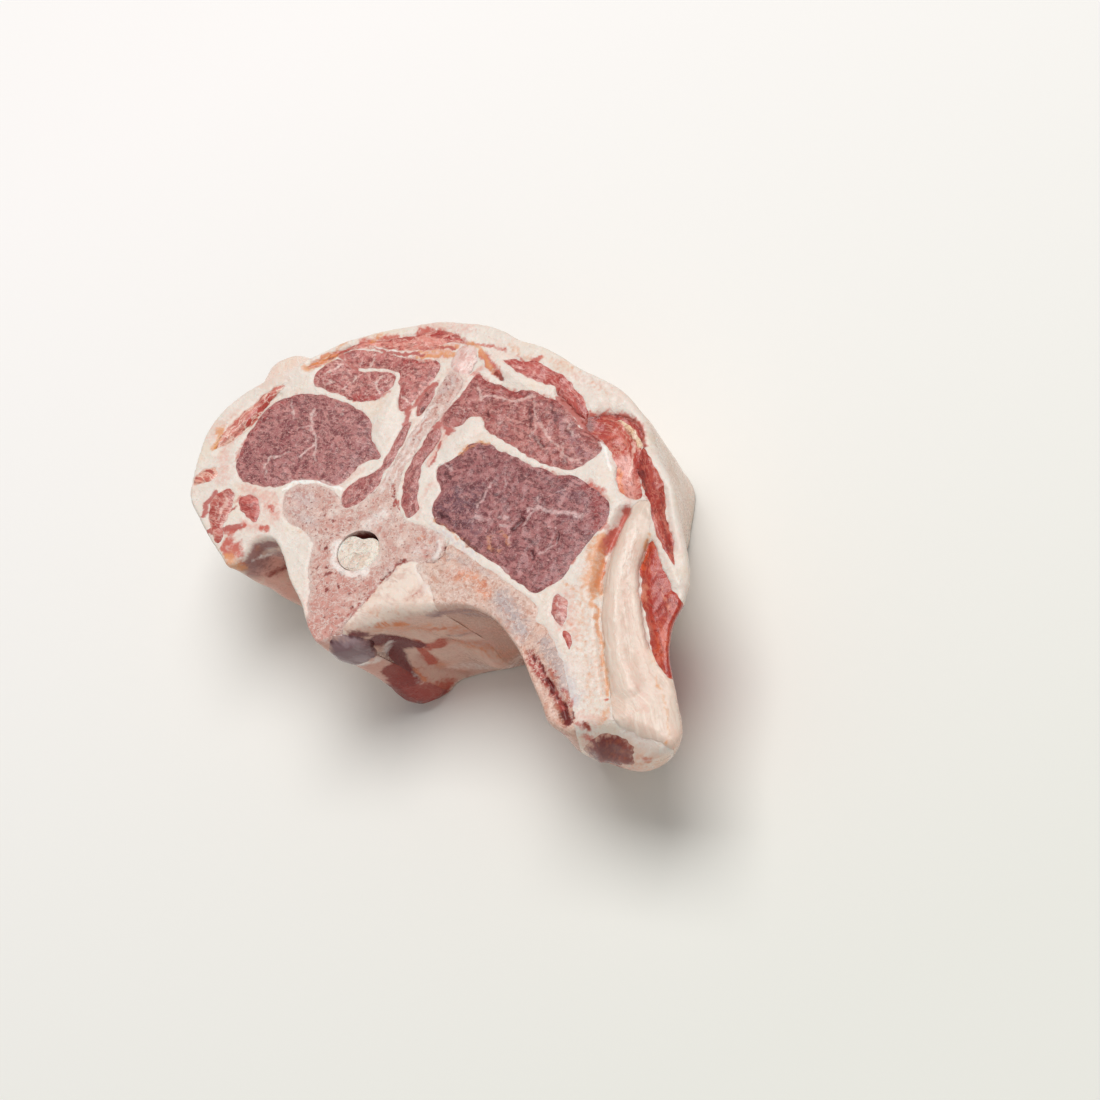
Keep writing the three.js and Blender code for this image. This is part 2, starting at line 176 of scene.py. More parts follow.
def ease(value, low, high):
    # 0 up to low, 1 from high on, and a smooth step between them
    part = np.clip((value - low) / (high - low), 0, 1)
    return part * part * (3 - 2 * part)


def softNoise(points, size, seed):
    # smooth noise from -1 to 1: random values on a lattice of that size, blended with smooth steps
    side = 32
    values = np.random.default_rng(seed).uniform(-1, 1, (side, side, side))
    scaled = np.zeros((len(points), 3))
    scaled[:, :points.shape[1]] = points / size
    low = np.floor(scaled)
    part = ease(scaled - low, 0, 1)
    total = np.zeros(len(points))
    for corner in np.ndindex(2, 2, 2):
        weight = np.where(corner, part, 1 - part).prod(axis=1)
        x, y, z = ((low + corner).astype(int) % side).T
        total += weight * values[x, y, z]
    return total


def bell(points, middle, radius, power=2):
    # 1 at the middle, falling as e to the power of minus the distance over the radius, squared or more
    return np.exp(-(np.linalg.norm(points - middle, axis=1) / radius) ** power)


def waves(points, rows):
    # the sum of several soft noises: each row is a height, a size in mm and a seed
    return sum(height * softNoise(points, size, seed) for height, size, seed in rows)


def closedCurve(leaf, pitch):
    # a closed centripetal Catmull-Rom curve from the first tip along the belly and back along the back
    loop = np.array([leaf["from"], *leaf["belly"], leaf["to"], *leaf["back"][::-1]], float)
    before, after, last = np.roll(loop, 1, 0), np.roll(loop, -1, 0), np.roll(loop, -2, 0)

    def span(one, other):
        return np.sqrt(np.linalg.norm(one - other, axis=1, keepdims=True))

    first, middle, third = span(before, loop), span(loop, after), span(after, last)
    leaving = ((loop - before) / first - (after - before) / (first + middle) + (after - loop) / middle)
    arriving = ((after - loop) / middle - (last - loop) / (middle + third) + (last - after) / third)
    steps = np.maximum(1, np.round(np.linalg.norm(after - loop, axis=1) / pitch)).astype(int)
    line = np.repeat(np.arange(len(loop)), steps)
    part = ((np.arange(len(line)) - np.repeat(np.cumsum(steps) - steps, steps)) / steps[line])[:, None]
    start, end = loop[line], after[line]
    leaving, arriving = (leaving * middle)[line], (arriving * middle)[line]
    return (start + leaving * part + (3 * (end - start) - 2 * leaving - arriving) * part ** 2
            + (2 * (start - end) + leaving + arriving) * part ** 3)


def inBlocks(work, points, size=4000):
    # a function of many points, worked out a block at a time to save memory
    return np.concatenate([work(points[i:i + size]) for i in range(0, len(points), size)])


def insideLoop(points, loop):
    # a point is inside where a line to its left crosses the loop an odd number of times
    result = np.zeros(len(points), bool)
    near = ((points > loop.min(0)) & (points < loop.max(0))).all(axis=1)
    ends = np.roll(loop, -1, 0)
    slope = (ends[:, 0] - loop[:, 0]) / np.where(ends[:, 1] == loop[:, 1], 1, ends[:, 1] - loop[:, 1])

    def crossings(block):
        above = (loop[:, 1] > block[:, 1:]) != (ends[:, 1] > block[:, 1:])
        left = block[:, :1] < loop[:, 0] + (block[:, 1:] - loop[:, 1]) * slope
        return (above & left).sum(axis=1) % 2 == 1

    if near.any():
        result[near] = inBlocks(crossings, points[near])
    return result


def loopGap(points, loop, reach=1e9):
    # the shortest distance to the loop's straight edges; beyond the reach it stays at the reach
    result = np.full(len(points), float(reach))
    near = ((points > loop.min(0) - reach) & (points < loop.max(0) + reach)).all(axis=1)
    run = np.roll(loop, -1, 0) - loop
    length = (run ** 2).sum(axis=1)

    def gaps(block):
        away = block[:, None, :] - loop
        part = np.clip((away * run).sum(axis=2) / length, 0, 1)
        return np.sqrt(((away - part[..., None] * run) ** 2).sum(axis=2).min(axis=1))

    if near.any():
        result[near] = np.minimum(inBlocks(gaps, points[near], 1000), reach)
    return result


def strokes(points, marks, join=np.maximum):
    # each mark's strength times a bell curve of the distance to its path over its half width
    field = np.zeros(len(points))
    for halfWidth, strength, *path in marks:
        stops = np.array(path, float)
        mark = np.zeros(len(points))
        low, high = stops.min(0) - 3 * halfWidth, stops.max(0) + 3 * halfWidth
        near = ((points > low) & (points < high)).all(axis=1)
        spots = points[near]
        for start, end in zip(stops, stops[1:] if len(stops) > 1 else stops):
            run = end - start
            part = np.clip((spots - start) @ run / max(run @ run, 1e-9), 0, 1)
            gap = np.linalg.norm(spots - start - part[:, None] * run, axis=1)
            mark[near] = np.maximum(mark[near], strength * np.exp(-(gap / halfWidth) ** 2))
        field = join(field, mark)
    return field


# every outline of the section runs from one tip to the other, once by the belly, once by the back
envelopeLeaf = {
    "from": (-63.4, 17), "to": (111.8, -17),
    "belly": [(-61.8, 10.5), (-59.6, 4), (-56.5, -2), (-50.5, -6.4), (-44.5, -10.5), (-38.5, -14),
        (-33.4, -16.6), (-30.9, -13.5), (-29.4, -7.3), (-25.5, -5.2), (-20.5, -8.2), (-14.5, -14),
        (-7.5, -19), (-1, -25), (4, -27.7), (7.2, -25), (10.5, -20.5), (17, -15.4), (25, -11), (32, -6.8),
        (38.5, -4.5), (46, -4.9), (53, -7.8), (60, -12), (66, -17), (72, -22), (77, -26.2), (83, -27),
        (88.5, -24.4), (95, -22.5), (102, -22.4), (108, -22.7), (111.4, -20.8)],
    "back": [(-62.8, 24.4), (-59.6, 32), (-54.6, 38), (-49, 43.5), (-45.5, 49.2), (-40.5, 55.4),
        (-34.5, 60.3), (-28.5, 64.1), (-22, 67.4), (-15.5, 70.3), (-8.5, 71.8), (-2.5, 73), (3.5, 73),
        (10, 71.8), (17, 71.8), (24, 70.8), (31, 69), (38, 68.2), (45, 67), (51.5, 64.4), (57.5, 60.8),
        (63, 55.5), (68.6, 50.4), (73.3, 46.9), (77.6, 41.9), (82.6, 35.8), (87.6, 30.6), (92, 24.4),
        (94.4, 17), (94.8, 9.6), (97.8, 1.8), (102.6, -4.6), (107.8, -11.4)],
}

leaves = {
    "loin_eye_left": {
        "from": (-50.6, 21), "to": (-9.2, 27.2), "look": "loinMeat",
        "belly": [(-49.6, 14.5), (-47.2, 9.6), (-43, 7.6), (-37.5, 7.9), (-32.3, 9.4), (-28.6, 12.7),
            (-23, 14.8), (-17, 14.9), (-14.6, 18.5), (-13.2, 23.8)],
        "back": [(-50.2, 29), (-47.3, 33.4), (-42, 37.2), (-36, 38.8), (-29.5, 38.6), (-24, 38.5),
            (-20, 37.6), (-17, 34.4), (-14.6, 30.8), (-11.6, 29)],
    },
    "loin_eye_right": {
        "from": (8.4, 28.4), "to": (62.3, 30.4), "look": "loinMeat",
        "belly": [(10, 25.8), (13.2, 23.6), (13.3, 19.8), (15.2, 15.6), (20, 14.2), (26, 12.8), (31, 10.7),
            (37, 9.3), (43, 8.2), (49, 6.4), (54.6, 5.5), (58, 9.3), (59.6, 14.5), (61, 24)],
        "back": [(10.5, 31.8), (12.9, 35.2), (15.2, 38.8), (18.5, 39.8), (23, 39.5), (28, 38.8), (33, 38.3),
            (38, 38.2), (43, 38.2), (47.5, 39), (52.5, 37.9), (56.5, 36.9), (60, 35.3), (61.4, 33)],
    },
    "blade_lower_left": {
        "from": (-41.3, 43.6), "to": (-17, 47.6), "look": "bladeMeat",
        "belly": [(-40.2, 40.9), (-36.5, 40.2), (-31, 40.2), (-26.5, 40), (-22.5, 41.2), (-19.8, 42.5),
            (-18.3, 45.2)],
        "back": [(-40.4, 47.3), (-38, 49.7), (-34, 49.2), (-30.5, 48.5), (-26, 50.1), (-21.5, 50.9),
            (-18.2, 50.3)],
    },
    "blade_upper_left": {
        "from": (-37.4, 52.2), "to": (-10.8, 41.4), "look": "bladeMeat",
        "belly": [(-34.6, 50.3), (-30.5, 49.6), (-26, 51.2), (-21.5, 52), (-18.1, 51.4), (-16.5, 49),
            (-15.3, 47.9), (-14.2, 46.6), (-13, 43.8)],
        "back": [(-35, 53.8), (-30, 55.1), (-24, 56.4), (-18, 56.2), (-12.5, 57.4), (-8.6, 58.6),
            (-6.5, 54.5), (-7.6, 50), (-9, 45.5)],
    },
    "blade_right": {
        "from": (2.2, 46), "to": (49.9, 48.4), "look": "bladeMeat",
        "belly": [(2.2, 42.9), (5, 41.2), (7.9, 42.6), (9.3, 45.8), (12.3, 47), (15, 44.5), (19, 42.9),
            (25, 42.2), (31, 40.7), (37, 39.8), (42.5, 39.9), (46.6, 41.4), (48.8, 44.6)],
        "back": [(3.2, 50.5), (3.9, 55), (5, 58.1), (9.3, 56.9), (13.5, 56.9), (18, 57), (22.5, 58.2),
            (27, 58.2), (31.5, 57.5), (35.8, 56), (39.8, 53.7), (43.8, 52), (47.8, 50.9)],
    },
    "spine_strip_left": {
        "from": (-6.6, 39.4), "to": (-10.6, 9.9), "look": "bladeMeat", "fibres": True,
        "belly": [(-7.9, 36.5), (-7.6, 31), (-7.3, 26), (-9, 22), (-11.7, 19), (-13.3, 15), (-12.8, 11.5)],
        "back": [(-5.7, 36.5), (-5.2, 31), (-5.2, 26), (-5.3, 22), (-5.4, 18), (-6.6, 14.6), (-8.4, 11.3)],
    },
    "spine_strip_right": {
        "from": (2.2, 40.2), "to": (8.4, 13.1), "look": "bladeMeat", "fibres": True,
        "belly": [(0.6, 38), (0.2, 34), (0, 29), (0.7, 24.5), (2, 20.8), (3.6, 17.6), (5.6, 14.8)],
        "back": [(4.2, 38.8), (4.4, 34.5), (3.6, 29.5), (4.8, 25.4), (6.7, 21.8), (8.6, 18.6), (10, 15.3)],
    },
    "spine_strip_upper": {
        "from": (-4.9, 52), "to": (-5.9, 41.3), "look": "bladeMeat", "fibres": True,
        "belly": [(-6.5, 50), (-7.2, 46.8), (-7.4, 43.4)],
        "back": [(-4.4, 49.5), (-4.5, 46), (-4.5, 43)],
    },
    "back_strip_left": {
        "from": (-4.4, 65.9), "to": (-45, 45), "look": "stripMeat", "fibres": True,
        "belly": [(-8, 67.3), (-11.5, 67.7), (-15.5, 66.3), (-19.5, 63.8), (-24.5, 61.9), (-29, 59),
            (-33.5, 57), (-37.5, 54.2), (-40.7, 50.6), (-43.6, 47.4)],
        "back": [(-8, 64.6), (-12, 62.4), (-15.8, 60.5), (-19.5, 59), (-24.5, 58), (-29, 57), (-33.3, 55.4),
            (-37, 53), (-39.6, 49.6), (-42.5, 45.6)],
    },
    "back_strip_right": {
        "from": (9.2, 64.4), "to": (41.3, 55.6), "look": "stripMeat", "fibres": True,
        "belly": [(12, 63), (16.5, 62), (22, 61.7), (27, 61.5), (30, 59.9), (34, 58.4), (38, 56.2)],
        "back": [(12.5, 65.6), (16, 66.1), (19.5, 67), (24.5, 66), (29.5, 65), (34, 62.7), (38.5, 60)],
    },
    "side_strip_left": {
        "from": (-48.3, 37.6), "to": (-58.2, 13.8), "look": "stripMeat", "fibres": True,
        "belly": [(-51, 36), (-53.5, 32), (-55.2, 28.5), (-56.6, 24.5), (-58, 20.5), (-59, 16.5)],
        "back": [(-49.3, 34.8), (-50.4, 32), (-51.6, 28), (-52.2, 24), (-53.6, 19.8), (-55.8, 16)],
    },
    "side_strip_right": {
        "from": (60.8, 53.2), "to": (86.8, 24), "look": "stripMeat", "fibres": True,
        "belly": [(63.5, 50.9), (67, 48.5), (70.5, 46), (73.2, 42.6), (75.5, 38.8), (78.6, 35.2),
            (82, 31.2), (84.8, 27.6)],
        "back": [(61.2, 49.8), (62.4, 46.4), (65.5, 43), (68.6, 40.2), (72, 38), (74.3, 34.6), (78, 30.8),
            (82.3, 27)],
    },
    "seam_fat": {
        "from": (48.6, 58.2), "to": (60, 53), "look": "seamFat",
        "belly": [(51.2, 57.2), (54, 55.9), (56.5, 54.3), (58.6, 52.9)],
        "back": [(51, 58.6), (54, 57.7), (57, 56.2), (59.3, 54.5)],
    },
    "flank_inner_right": {
        "from": (41.4, 55.3), "to": (68.4, 38.9), "look": "flankMeat", "fibres": True,
        "belly": [(43, 53), (46.5, 51.8), (50, 50.5), (53, 48.8), (55.5, 46.4), (57.8, 43.2), (60.8, 40),
            (64.8, 38)],
        "back": [(43.5, 57.7), (48, 59.4), (53, 59.6), (57, 57.6), (59.6, 54.2), (61.4, 50.5), (62.6, 46.6),
            (66, 42.2)],
    },
    "flank_lower_right": {
        "from": (77.3, 28.6), "to": (102, -3.6), "look": "flankMeat", "fibres": True,
        "belly": [(77.4, 24.8), (78.8, 20.3), (81.7, 15.3), (85.5, 10.2), (89.5, 5.2), (93.5, 0.8),
            (97.5, -2.4)],
        "back": [(81, 26), (84.6, 22.3), (88.5, 19), (93, 16.4), (99, 15), (103, 9), (105, 2)],
    },
    "flank_outer_left": {
        "from": (-52.2, 7.2), "to": (-57.6, 1.8), "look": "stripMeat",
        "belly": [(-54.4, 8.5), (-56.9, 7.2), (-58.5, 4.4)],
        "back": [(-52.6, 5.4), (-54.4, 3.5), (-56, 2.4)],
    },
    "flank_main_left": {
        "from": (-46.5, 4.2), "to": (-40.2, -11), "look": "stripMeat",
        "belly": [(-48.6, 2.4), (-49.2, -0.8), (-48.4, -3.6), (-46.3, -6.4), (-43.8, -8.8), (-41.8, -10.6)],
        "back": [(-44, 3.3), (-42.8, 0), (-41.8, -3.5), (-42, -6.3), (-40.6, -8.4), (-39.8, -9.8)],
    },
    "flank_small_left": {
        "from": (-41.2, 2.6), "to": (-32.6, -2.2), "look": "stripMeat",
        "belly": [(-40.4, 0.6), (-38.3, -0.7), (-36, -1.7), (-34.2, -2.4)],
        "back": [(-39.8, 4), (-37.3, 4.1), (-35, 2.6), (-33.4, -0.2)],
    },
    "rib_meat_upper": {
        "from": (60, 7), "to": (66.4, -1), "look": "stripMeat",
        "belly": [(60.4, 4), (61.6, 1.7), (63.6, -0.2)],
        "back": [(62.6, 6.6), (65.3, 4.3), (66.6, 1.6)],
    },
    "rib_meat_lower": {
        "from": (67.6, -2), "to": (71.8, -6.2), "look": "stripMeat",
        "belly": [(68.6, -3.4), (70, -4.9)],
        "back": [(69.8, -2.3), (71.3, -3.8)],
    },
    "spine_tip": {
        "from": (-1, 57), "to": (-1.3, 65.4), "look": "gristle",
        "belly": [(-4, 57.6), (-4.8, 60.5), (-4.4, 63.6)],
        "back": [(2.1, 57.5), (2.5, 60), (1.9, 63)],
    },
    "vertebra": {
        "from": (-29.6, 8.4), "to": (23.6, 7.5), "look": "spongyBone",
        "belly": [(-28.1, 4.5), (-24, 1.4), (-18.5, 0.2), (-14, -1.5), (-11.7, -6), (-9.8, -10.5),
            (-6.4, -16), (-3, -22), (1, -29.5), (6, -30), (8.6, -21), (10.4, -12), (11.3, -6.5),
            (12.4, -2.5), (15, 1), (19.5, 3), (22.8, 4.3)],
        "back": [(-27.6, 11.4), (-23.5, 13.1), (-18, 13.5), (-14.6, 12.5), (-12, 11.6), (-9.5, 12.2),
            (-7.3, 14), (-5.6, 16.5), (-4.2, 19), (-1.8, 20), (0.6, 19.4), (3, 16.8), (5.5, 14.2),
            (8.5, 12.6), (12, 12.4), (17, 12.6), (21.5, 11.2)],
    },
    "column": {
        "from": (-2.2, 10), "to": (-1, 56.4), "look": "spongyBone", "partOf": "vertebra",
        "belly": [(-4.7, 13), (-4.7, 21), (-4.6, 26), (-4.7, 31), (-4.8, 36), (-4, 41), (-3.9, 46),
            (-3.8, 55.2)],
        "back": [(2.4, 14), (0.6, 21), (-0.4, 26), (-0.5, 31), (-0.2, 36), (0.6, 41), (1.5, 46),
            (1.9, 55.2)],
    },
    "rib_neck": {
        "from": (18.4, 1.2), "to": (59, -4.5), "look": "ribBone",
        "belly": [(21.5, -1.2), (27, -3.6), (32, -9.5), (39, -9.5), (46, -9.5), (52, -12.5), (56.5, -16)],
        "back": [(22, 7.5), (25.2, 10), (31, 8.6), (37, 7.4), (43, 6.2), (50, 4.3), (56.5, 2)],
    },
    "rib_right": {
        "from": (58.4, -2.6), "to": (85.4, -29), "look": "ribBone", "fibres": True,
        "belly": [(57.6, -8), (59, -16.5), (64, -22), (68.5, -26.5), (73.5, -30.5), (78.5, -33)],
        "back": [(61.8, -2.4), (66, -5.2), (70.2, -8.8), (74.3, -12.4), (78.4, -17.2), (82.4, -22.5)],
    },
    "fascia_fold": {
        "from": (70.2, 38.8), "to": (111, -20.8), "look": "foldFat", "fibres": True,
        "belly": [(67, 36), (66.9, 31), (67.9, 25.5), (69.6, 19.2), (72.2, 12), (75.6, 4.8), (79.8, -1.8),
            (84.2, -7.8), (87.6, -12.4), (90.2, -16.4), (93.6, -19.6), (101, -20.6)],
        "back": [(73, 36), (75.3, 32), (76.7, 27), (78, 21.5), (80.7, 15.8), (84.6, 10.5), (88.6, 5.2),
            (93.2, 0.8), (99, -3.2), (112, -6), (117, -14), (116.5, -19.5)],
    },
}

archLeaf = {
    "from": (8, -22), "to": (36, -12), "belly": [(14, -30), (26, -24)], "back": [(11, -2), (20, 2.5)],
}

canal = {
    "radius": 6.1,  # mm
    "cordRadius": 5.9,
    "notchTurn": 1.8,  # radians from the right
    "notchDepth": 2.3,
    "notchSpread": 0.6,  # radians
    "cordSink": 0.1,  # mm under the face in its middle
    "cordCrown": 0.25,  # mm more at its rim
}


def ring(radius, pitch, notch=0.0):
    # a circle of points about one pitch apart, drawn in towards the middle where the notch is
    turn = np.linspace(0, 2 * np.pi, int(2 * np.pi * radius / pitch), endpoint=False)
    radius = radius - notch * np.exp(-((turn - canal["notchTurn"]) / canal["notchSpread"]) ** 2)
    return radius[:, None] * np.stack([np.cos(turn), np.sin(turn)], axis=1)


def normalsOf(loop):
    # outwards at each point: at right angles to the line from the point before to the one after
    run = np.roll(loop, -1, 0) - np.roll(loop, 1, 0)
    return np.stack([run[:, 1], -run[:, 0]], axis=1) / np.linalg.norm(run, axis=1)[:, None]


def strayed(loop, amount, seed):
    # moves each point of an outline along its normal by soft noise
    shift = waves(loop, [(share, size, seed + more) for share, size, more in chop["wanderWaves"]])
    return loop + normalsOf(loop) * (amount * shift)[:, None]


envelope = closedCurve(envelopeLeaf, chop["edgePitch"])
loops = {
    "spinal_cord": ring(canal["cordRadius"], chop["edgePitch"], canal["notchDepth"]),
    "canal": ring(canal["radius"], chop["edgePitch"]),
}
for seed, (name, leaf) in enumerate(leaves.items()):
    loops[name] = strayed(closedCurve(leaf, chop["edgePitch"]), chop["wander"], 2 * seed)
archLoop = closedCurve(archLeaf, chop["edgePitch"])


def cutSection():
    # a lattice of points in even triangles, kept clear of the outlines and joined along the outlines
    lines = [envelope, archLoop, *loops.values()]
    pitch, margin = chop["facePitch"], 2
    low, high = envelope.min(0) - margin, envelope.max(0) + margin
    rows = np.arange(low[1], high[1], pitch * np.sqrt(0.75))
    x, y = np.meshgrid(np.arange(low[0], high[0], pitch), rows)
    x = x + (np.arange(len(rows)) % 2)[:, None] * pitch / 2
    lattice = np.stack([x.ravel(), y.ravel()], axis=1)
    lattice = lattice[insideLoop(lattice, envelope)]
    for line in lines:
        lattice = lattice[loopGap(lattice, line, 1.0) > chop["clearance"] * pitch]
    edges, count = [], 0
    for line in lines:
        here = np.arange(count, count + len(line))
        edges.append(np.stack([here, np.roll(here, -1)], axis=1))
        count += len(line)
    points = np.concatenate([*lines, lattice])
    corners, _, faces, *_ = delaunay_2d_cdt(
        [Vector(point) for point in points], np.concatenate(edges).tolist(), [], 0, 1e-4, False)
    spots, faces = np.array(corners), np.array(faces)
    one, two = spots[faces[:, 1]] - spots[faces[:, 0]], spots[faces[:, 2]] - spots[faces[:, 0]]
    backwards = one[:, 0] * two[:, 1] < one[:, 1] * two[:, 0]
    faces[backwards] = faces[backwards][:, ::-1]
    return spots, faces[insideLoop(spots[faces].mean(axis=1), envelope)]


spots, faces = cutSection()
middles = spots[faces].mean(axis=1)
tissue = np.full(len(faces), "fat", dtype="U20")
for name, loop in loops.items():
    taken = (tissue == "fat") & insideLoop(middles, loop)
    tissue[taken] = leaves.get(name, {}).get("partOf", name)
tissue[(tissue == "fat") & insideLoop(middles, archLoop)] = "arch_fat"
print("section cut into", len(faces), "triangles")


def joinCrumbs(smallest=2.5, mostRounds=400):
    # a patch of a tissue under the smallest area in square millimetres goes to its neighbour: the
    # triangles of a patch pass on the lowest number among them until none changes
    names, kind = np.unique(tissue, return_inverse=True)
    sides = np.sort(faces[:, [[0, 1], [1, 2], [2, 0]]].reshape(-1, 2), axis=1)
    order = np.lexsort(sides.T)
    same = (sides[order][1:] == sides[order][:-1]).all(axis=1)
    one, two = order[:-1][same] // 3, order[1:][same] // 3
    alike = kind[one] == kind[two]
    patch = np.arange(len(faces))
    for _ in range(mostRounds):
        previous = patch.copy()
        np.minimum.at(patch, one[alike], previous[two[alike]])
        np.minimum.at(patch, two[alike], previous[one[alike]])
        patch = np.minimum(patch, patch[patch])
        if (patch == previous).all():
            break
    across, along = spots[faces[:, 1]] - spots[faces[:, 0]], spots[faces[:, 2]] - spots[faces[:, 0]]
    area = np.abs(across[:, 0] * along[:, 1] - across[:, 1] * along[:, 0]) / 2
    small = np.bincount(patch, area, len(faces))[patch] < smallest
    for here, there in ((one, two), (two, one)):
        edge = small[here] & ~small[there] & (kind[there] != np.flatnonzero(names == "canal")[0])
        heir = np.full(len(faces), -1)
        heir[patch[here[edge]]] = kind[there[edge]]
        taken = small & (heir[patch] >= 0)
        kind[taken] = heir[patch][taken]
        small = small & ~taken
    return names[kind]


tissue = joinCrumbs()

cut = {
    # the relief of the shown face in mm: soft noise as height, size and seed
    "waves": [(0.45, 28, 11), (0.15, 6, 12), (0.06, 1.3, 13), (0.04, 0.7, 16)],
    "bundles": [(0.1, 2.2, 15)],  # the same on muscle only
    "crown": 0.32,  # how high a muscle stands in its middle
    "crownReach": 2.5,  # how far from its seam it has risen
    "seamDepth": 0.12,
    "seamWidth": 0.5,
    "seamWaves": [(1, 5, 14)],
    "seamReach": 6.0,  # the furthest distance from a seam that counts
    # half width, height, path
    "raised": [
        (3.6, 1.7, (70.6, 36), (70.8, 30), (73, 18), (77.6, 8), (84, -2), (92, -10)),
        (1.4, 0.7, (72.5, 36.5), (77, 31.5), (84, 25.5), (90, 20)), (4.5, 0.8, (-53, 39), (-48, 44)),
        (3.2, 0.8, (-1, 61), (-1.5, 58)), (2.2, 0.6, (-15, 43), (-13, 35), (-16, 40)),
        (3, 0.6, (12, 42), (9, 36), (20, 41.2), (34, 38.9)), (2.4, 0.5, (20, 60), (6, 62.5)),
        (5, 1, (95, -17), (103, -17)),
    ],
    "sunk": [
        (1.7, 3, (65.7, 34), (66.2, 27), (67.4, 19.5), (70.4, 11.5)),
        (1.1, 1.6, (71.4, 11.5), (74.9, 4.4), (79.2, -2), (84, -8.8), (88, -13.6)),
        (1.1, 1.3, (77, 28), (78.4, 21), (81.8, 15), (85.7, 9.8), (92, 2)),
        (4, 1.7, (45, 55), (52, 54.5), (58, 49), (63, 43)),
        (1.2, 0.6, (44, 57.8), (50, 59.8), (56, 58.2), (60, 54)),
        (0.7, 0.35, (29, 60.3), (34, 57.8), (41, 54.8)), (1.2, 0.9, (73, 43), (77.5, 36.5), (84, 28.5)),
        (0.7, 0.5, (15, 1.6), (12.2, 0), (12.7, -3), (11.4, -6)),
        (0.45, 0.5, (18.5, 3.1), (22.8, 4.4), (23.9, 7), (22.6, 11)),
        (1.4, 0.9, (62, -11), (69, -15), (75, -19), (81, -24)), (0.7, 0.9, (71, -16), (73.4, -17.6)),
        (0.9, 1.1, (77.6, -20.4), (80.4, -23.4)), (1, 0.8, (-48.4, 34.5), (-51, 30), (-52, 24), (-56, 16)),
        (1, 0.5, (-45, 45.4), (-41, 50.2), (-37, 54)), (1.6, 0.5, (9, 60), (12.5, 58.8)),
        (0.7, 0.8, (16.8, 16.4), (20.5, 15.9)), (0.7, 0.8, (52, 22), (52.6, 19.6)),
        (0.7, 0.8, (47.2, 15.4), (48.6, 13.8)), (1, 0.9, (40, 22.4), (39.2, 20)),
    ],
}

muscles = {name for name, leaf in leaves.items() if leaf["look"].endswith("Meat")}


def outwardFrom(points, every=3, softness=1.2):
    # the wall's outward direction at a point: the mean of the outline's normals, nearest first
    line = envelope[::every]
    normal = normalsOf(line)

    def blend(block):
        gap = np.linalg.norm(block[:, None, :] - line, axis=2)
        weight = np.exp((gap.min(axis=1, keepdims=True) - gap) / softness)
        return (weight @ normal) / weight.sum(axis=1, keepdims=True)

    return inBlocks(blend, points)


rimGap = loopGap(spots, envelope)
seamGap = np.full(len(spots), cut["seamReach"])
for loop in loops.values():
    seamGap = np.minimum(seamGap, loopGap(spots, loop, cut["seamReach"]))
outward = outwardFrom(spots)
isMuscle = np.zeros(len(spots))
isMuscle[np.unique(faces[np.isin(tissue, list(muscles))])] = 1


def faceRelief():
    # a wavy cut, muscles crowned between their seams, the drawn ridges and grooves, and the sunk cord
    relief = waves(spots, cut["waves"]) + isMuscle * waves(spots, cut["bundles"])
    relief += cut["crown"] * isMuscle * (1 - np.exp(-seamGap / cut["crownReach"]))
    seam = np.exp(-(seamGap / cut["seamWidth"]) ** 2) * (1 + waves(spots, cut["seamWaves"]))
    relief += strokes(spots, cut["raised"], np.add) - strokes(spots, cut["sunk"], np.add)
    offCentre = np.linalg.norm(spots, axis=1)
    sink = canal["cordSink"] + canal["cordCrown"] * (offCentre / canal["cordRadius"]) ** 4
    inCanal = offCentre < canal["radius"] - chop["onLine"]
    return relief - cut["seamDepth"] * seam - np.where(inCanal, sink, 0)


relief = faceRelief()
print("relief drawn")

slideBy = {  # how the tissues slide on their way down the chop, in mm
    "backboneShift": 12, "backboneCentre": 5, "backboneReach": 45,
    "flankLean": 0.42, "flankStart": 55, "flankSoftness": 4,
    "lift": 4, "liftPerHeight": 0.11, "liftFrom": 30,
    "hollowMiddle": (98, 26), "hollowRadii": (40, 31), "hollowShift": (-8, -3),
}

wall = {
    # where it stands out or in: x, y, radius, reach, depth of the most, depth where it has faded
    "swells": [
        (-51.5, 42, 8.5, 10, 7, 20), (3, -27, 8, 3, 32, 60), (97, -23, 14, 7, 13, 34),
        (93, 10, 18, -3, 40, 90),
    ],
    "swellReach": 18,  # mm inside the outline where the swells have died away
    # small lumps and hollows: x, y, depth, radius, push, all in mm
    "lumps": [
        (7.2, -25, 7, 6, 1.4), (12, -19, 15, 4, -1.5), (18, -15, 12, 3, -1), (9, -22.6, 28, 4, 1.4),
        (22, -13, 22, 4, -1.2), (28, -10, 31, 6, 4.5), (4, -27.7, 37, 6, 2.6), (36, -5, 22, 7, -0.8),
        (-36, -14, 6, 3, -1), (-26, -6, 12, 5, 1.4), (-20, -8, 20, 4, -1.2),
    ],
    "waves": [(0.55, 9, 31), (0.22, 3.1, 32)],  # soft noise: height and size in mm, seed
    "lumpReach": 2.2,  # mm inside the outline where lumps and noise have died away
    "calmRim": (0.4, 4),  # mm from a cut face where they begin and where they are full
}


def wallPush(places):
    # how far the wall stands out at section points and depths: a bell over the outline times a rise
    # and a fall down the depth
    spot, depth = places[:, :2], places[:, 2]
    push = np.zeros(len(places))
    for x, y, radius, reach, deepest, fade in wall["swells"]:
        risen = ease(depth, 0, deepest) * (1 - ease(depth, deepest, fade))
        push += reach * risen * bell(spot, (x, y), radius, 4)
    return push


def wallRelief(places):
    # soft noise and a bell curve for each lump, faded out towards the cut faces
    push = waves(places, wall["waves"])
    for *middle, radius, reach in wall["lumps"]:
        push += reach * bell(places, middle, radius)
    return push * ease(np.minimum(places[:, 2], thickness - places[:, 2]), *wall["calmRim"])


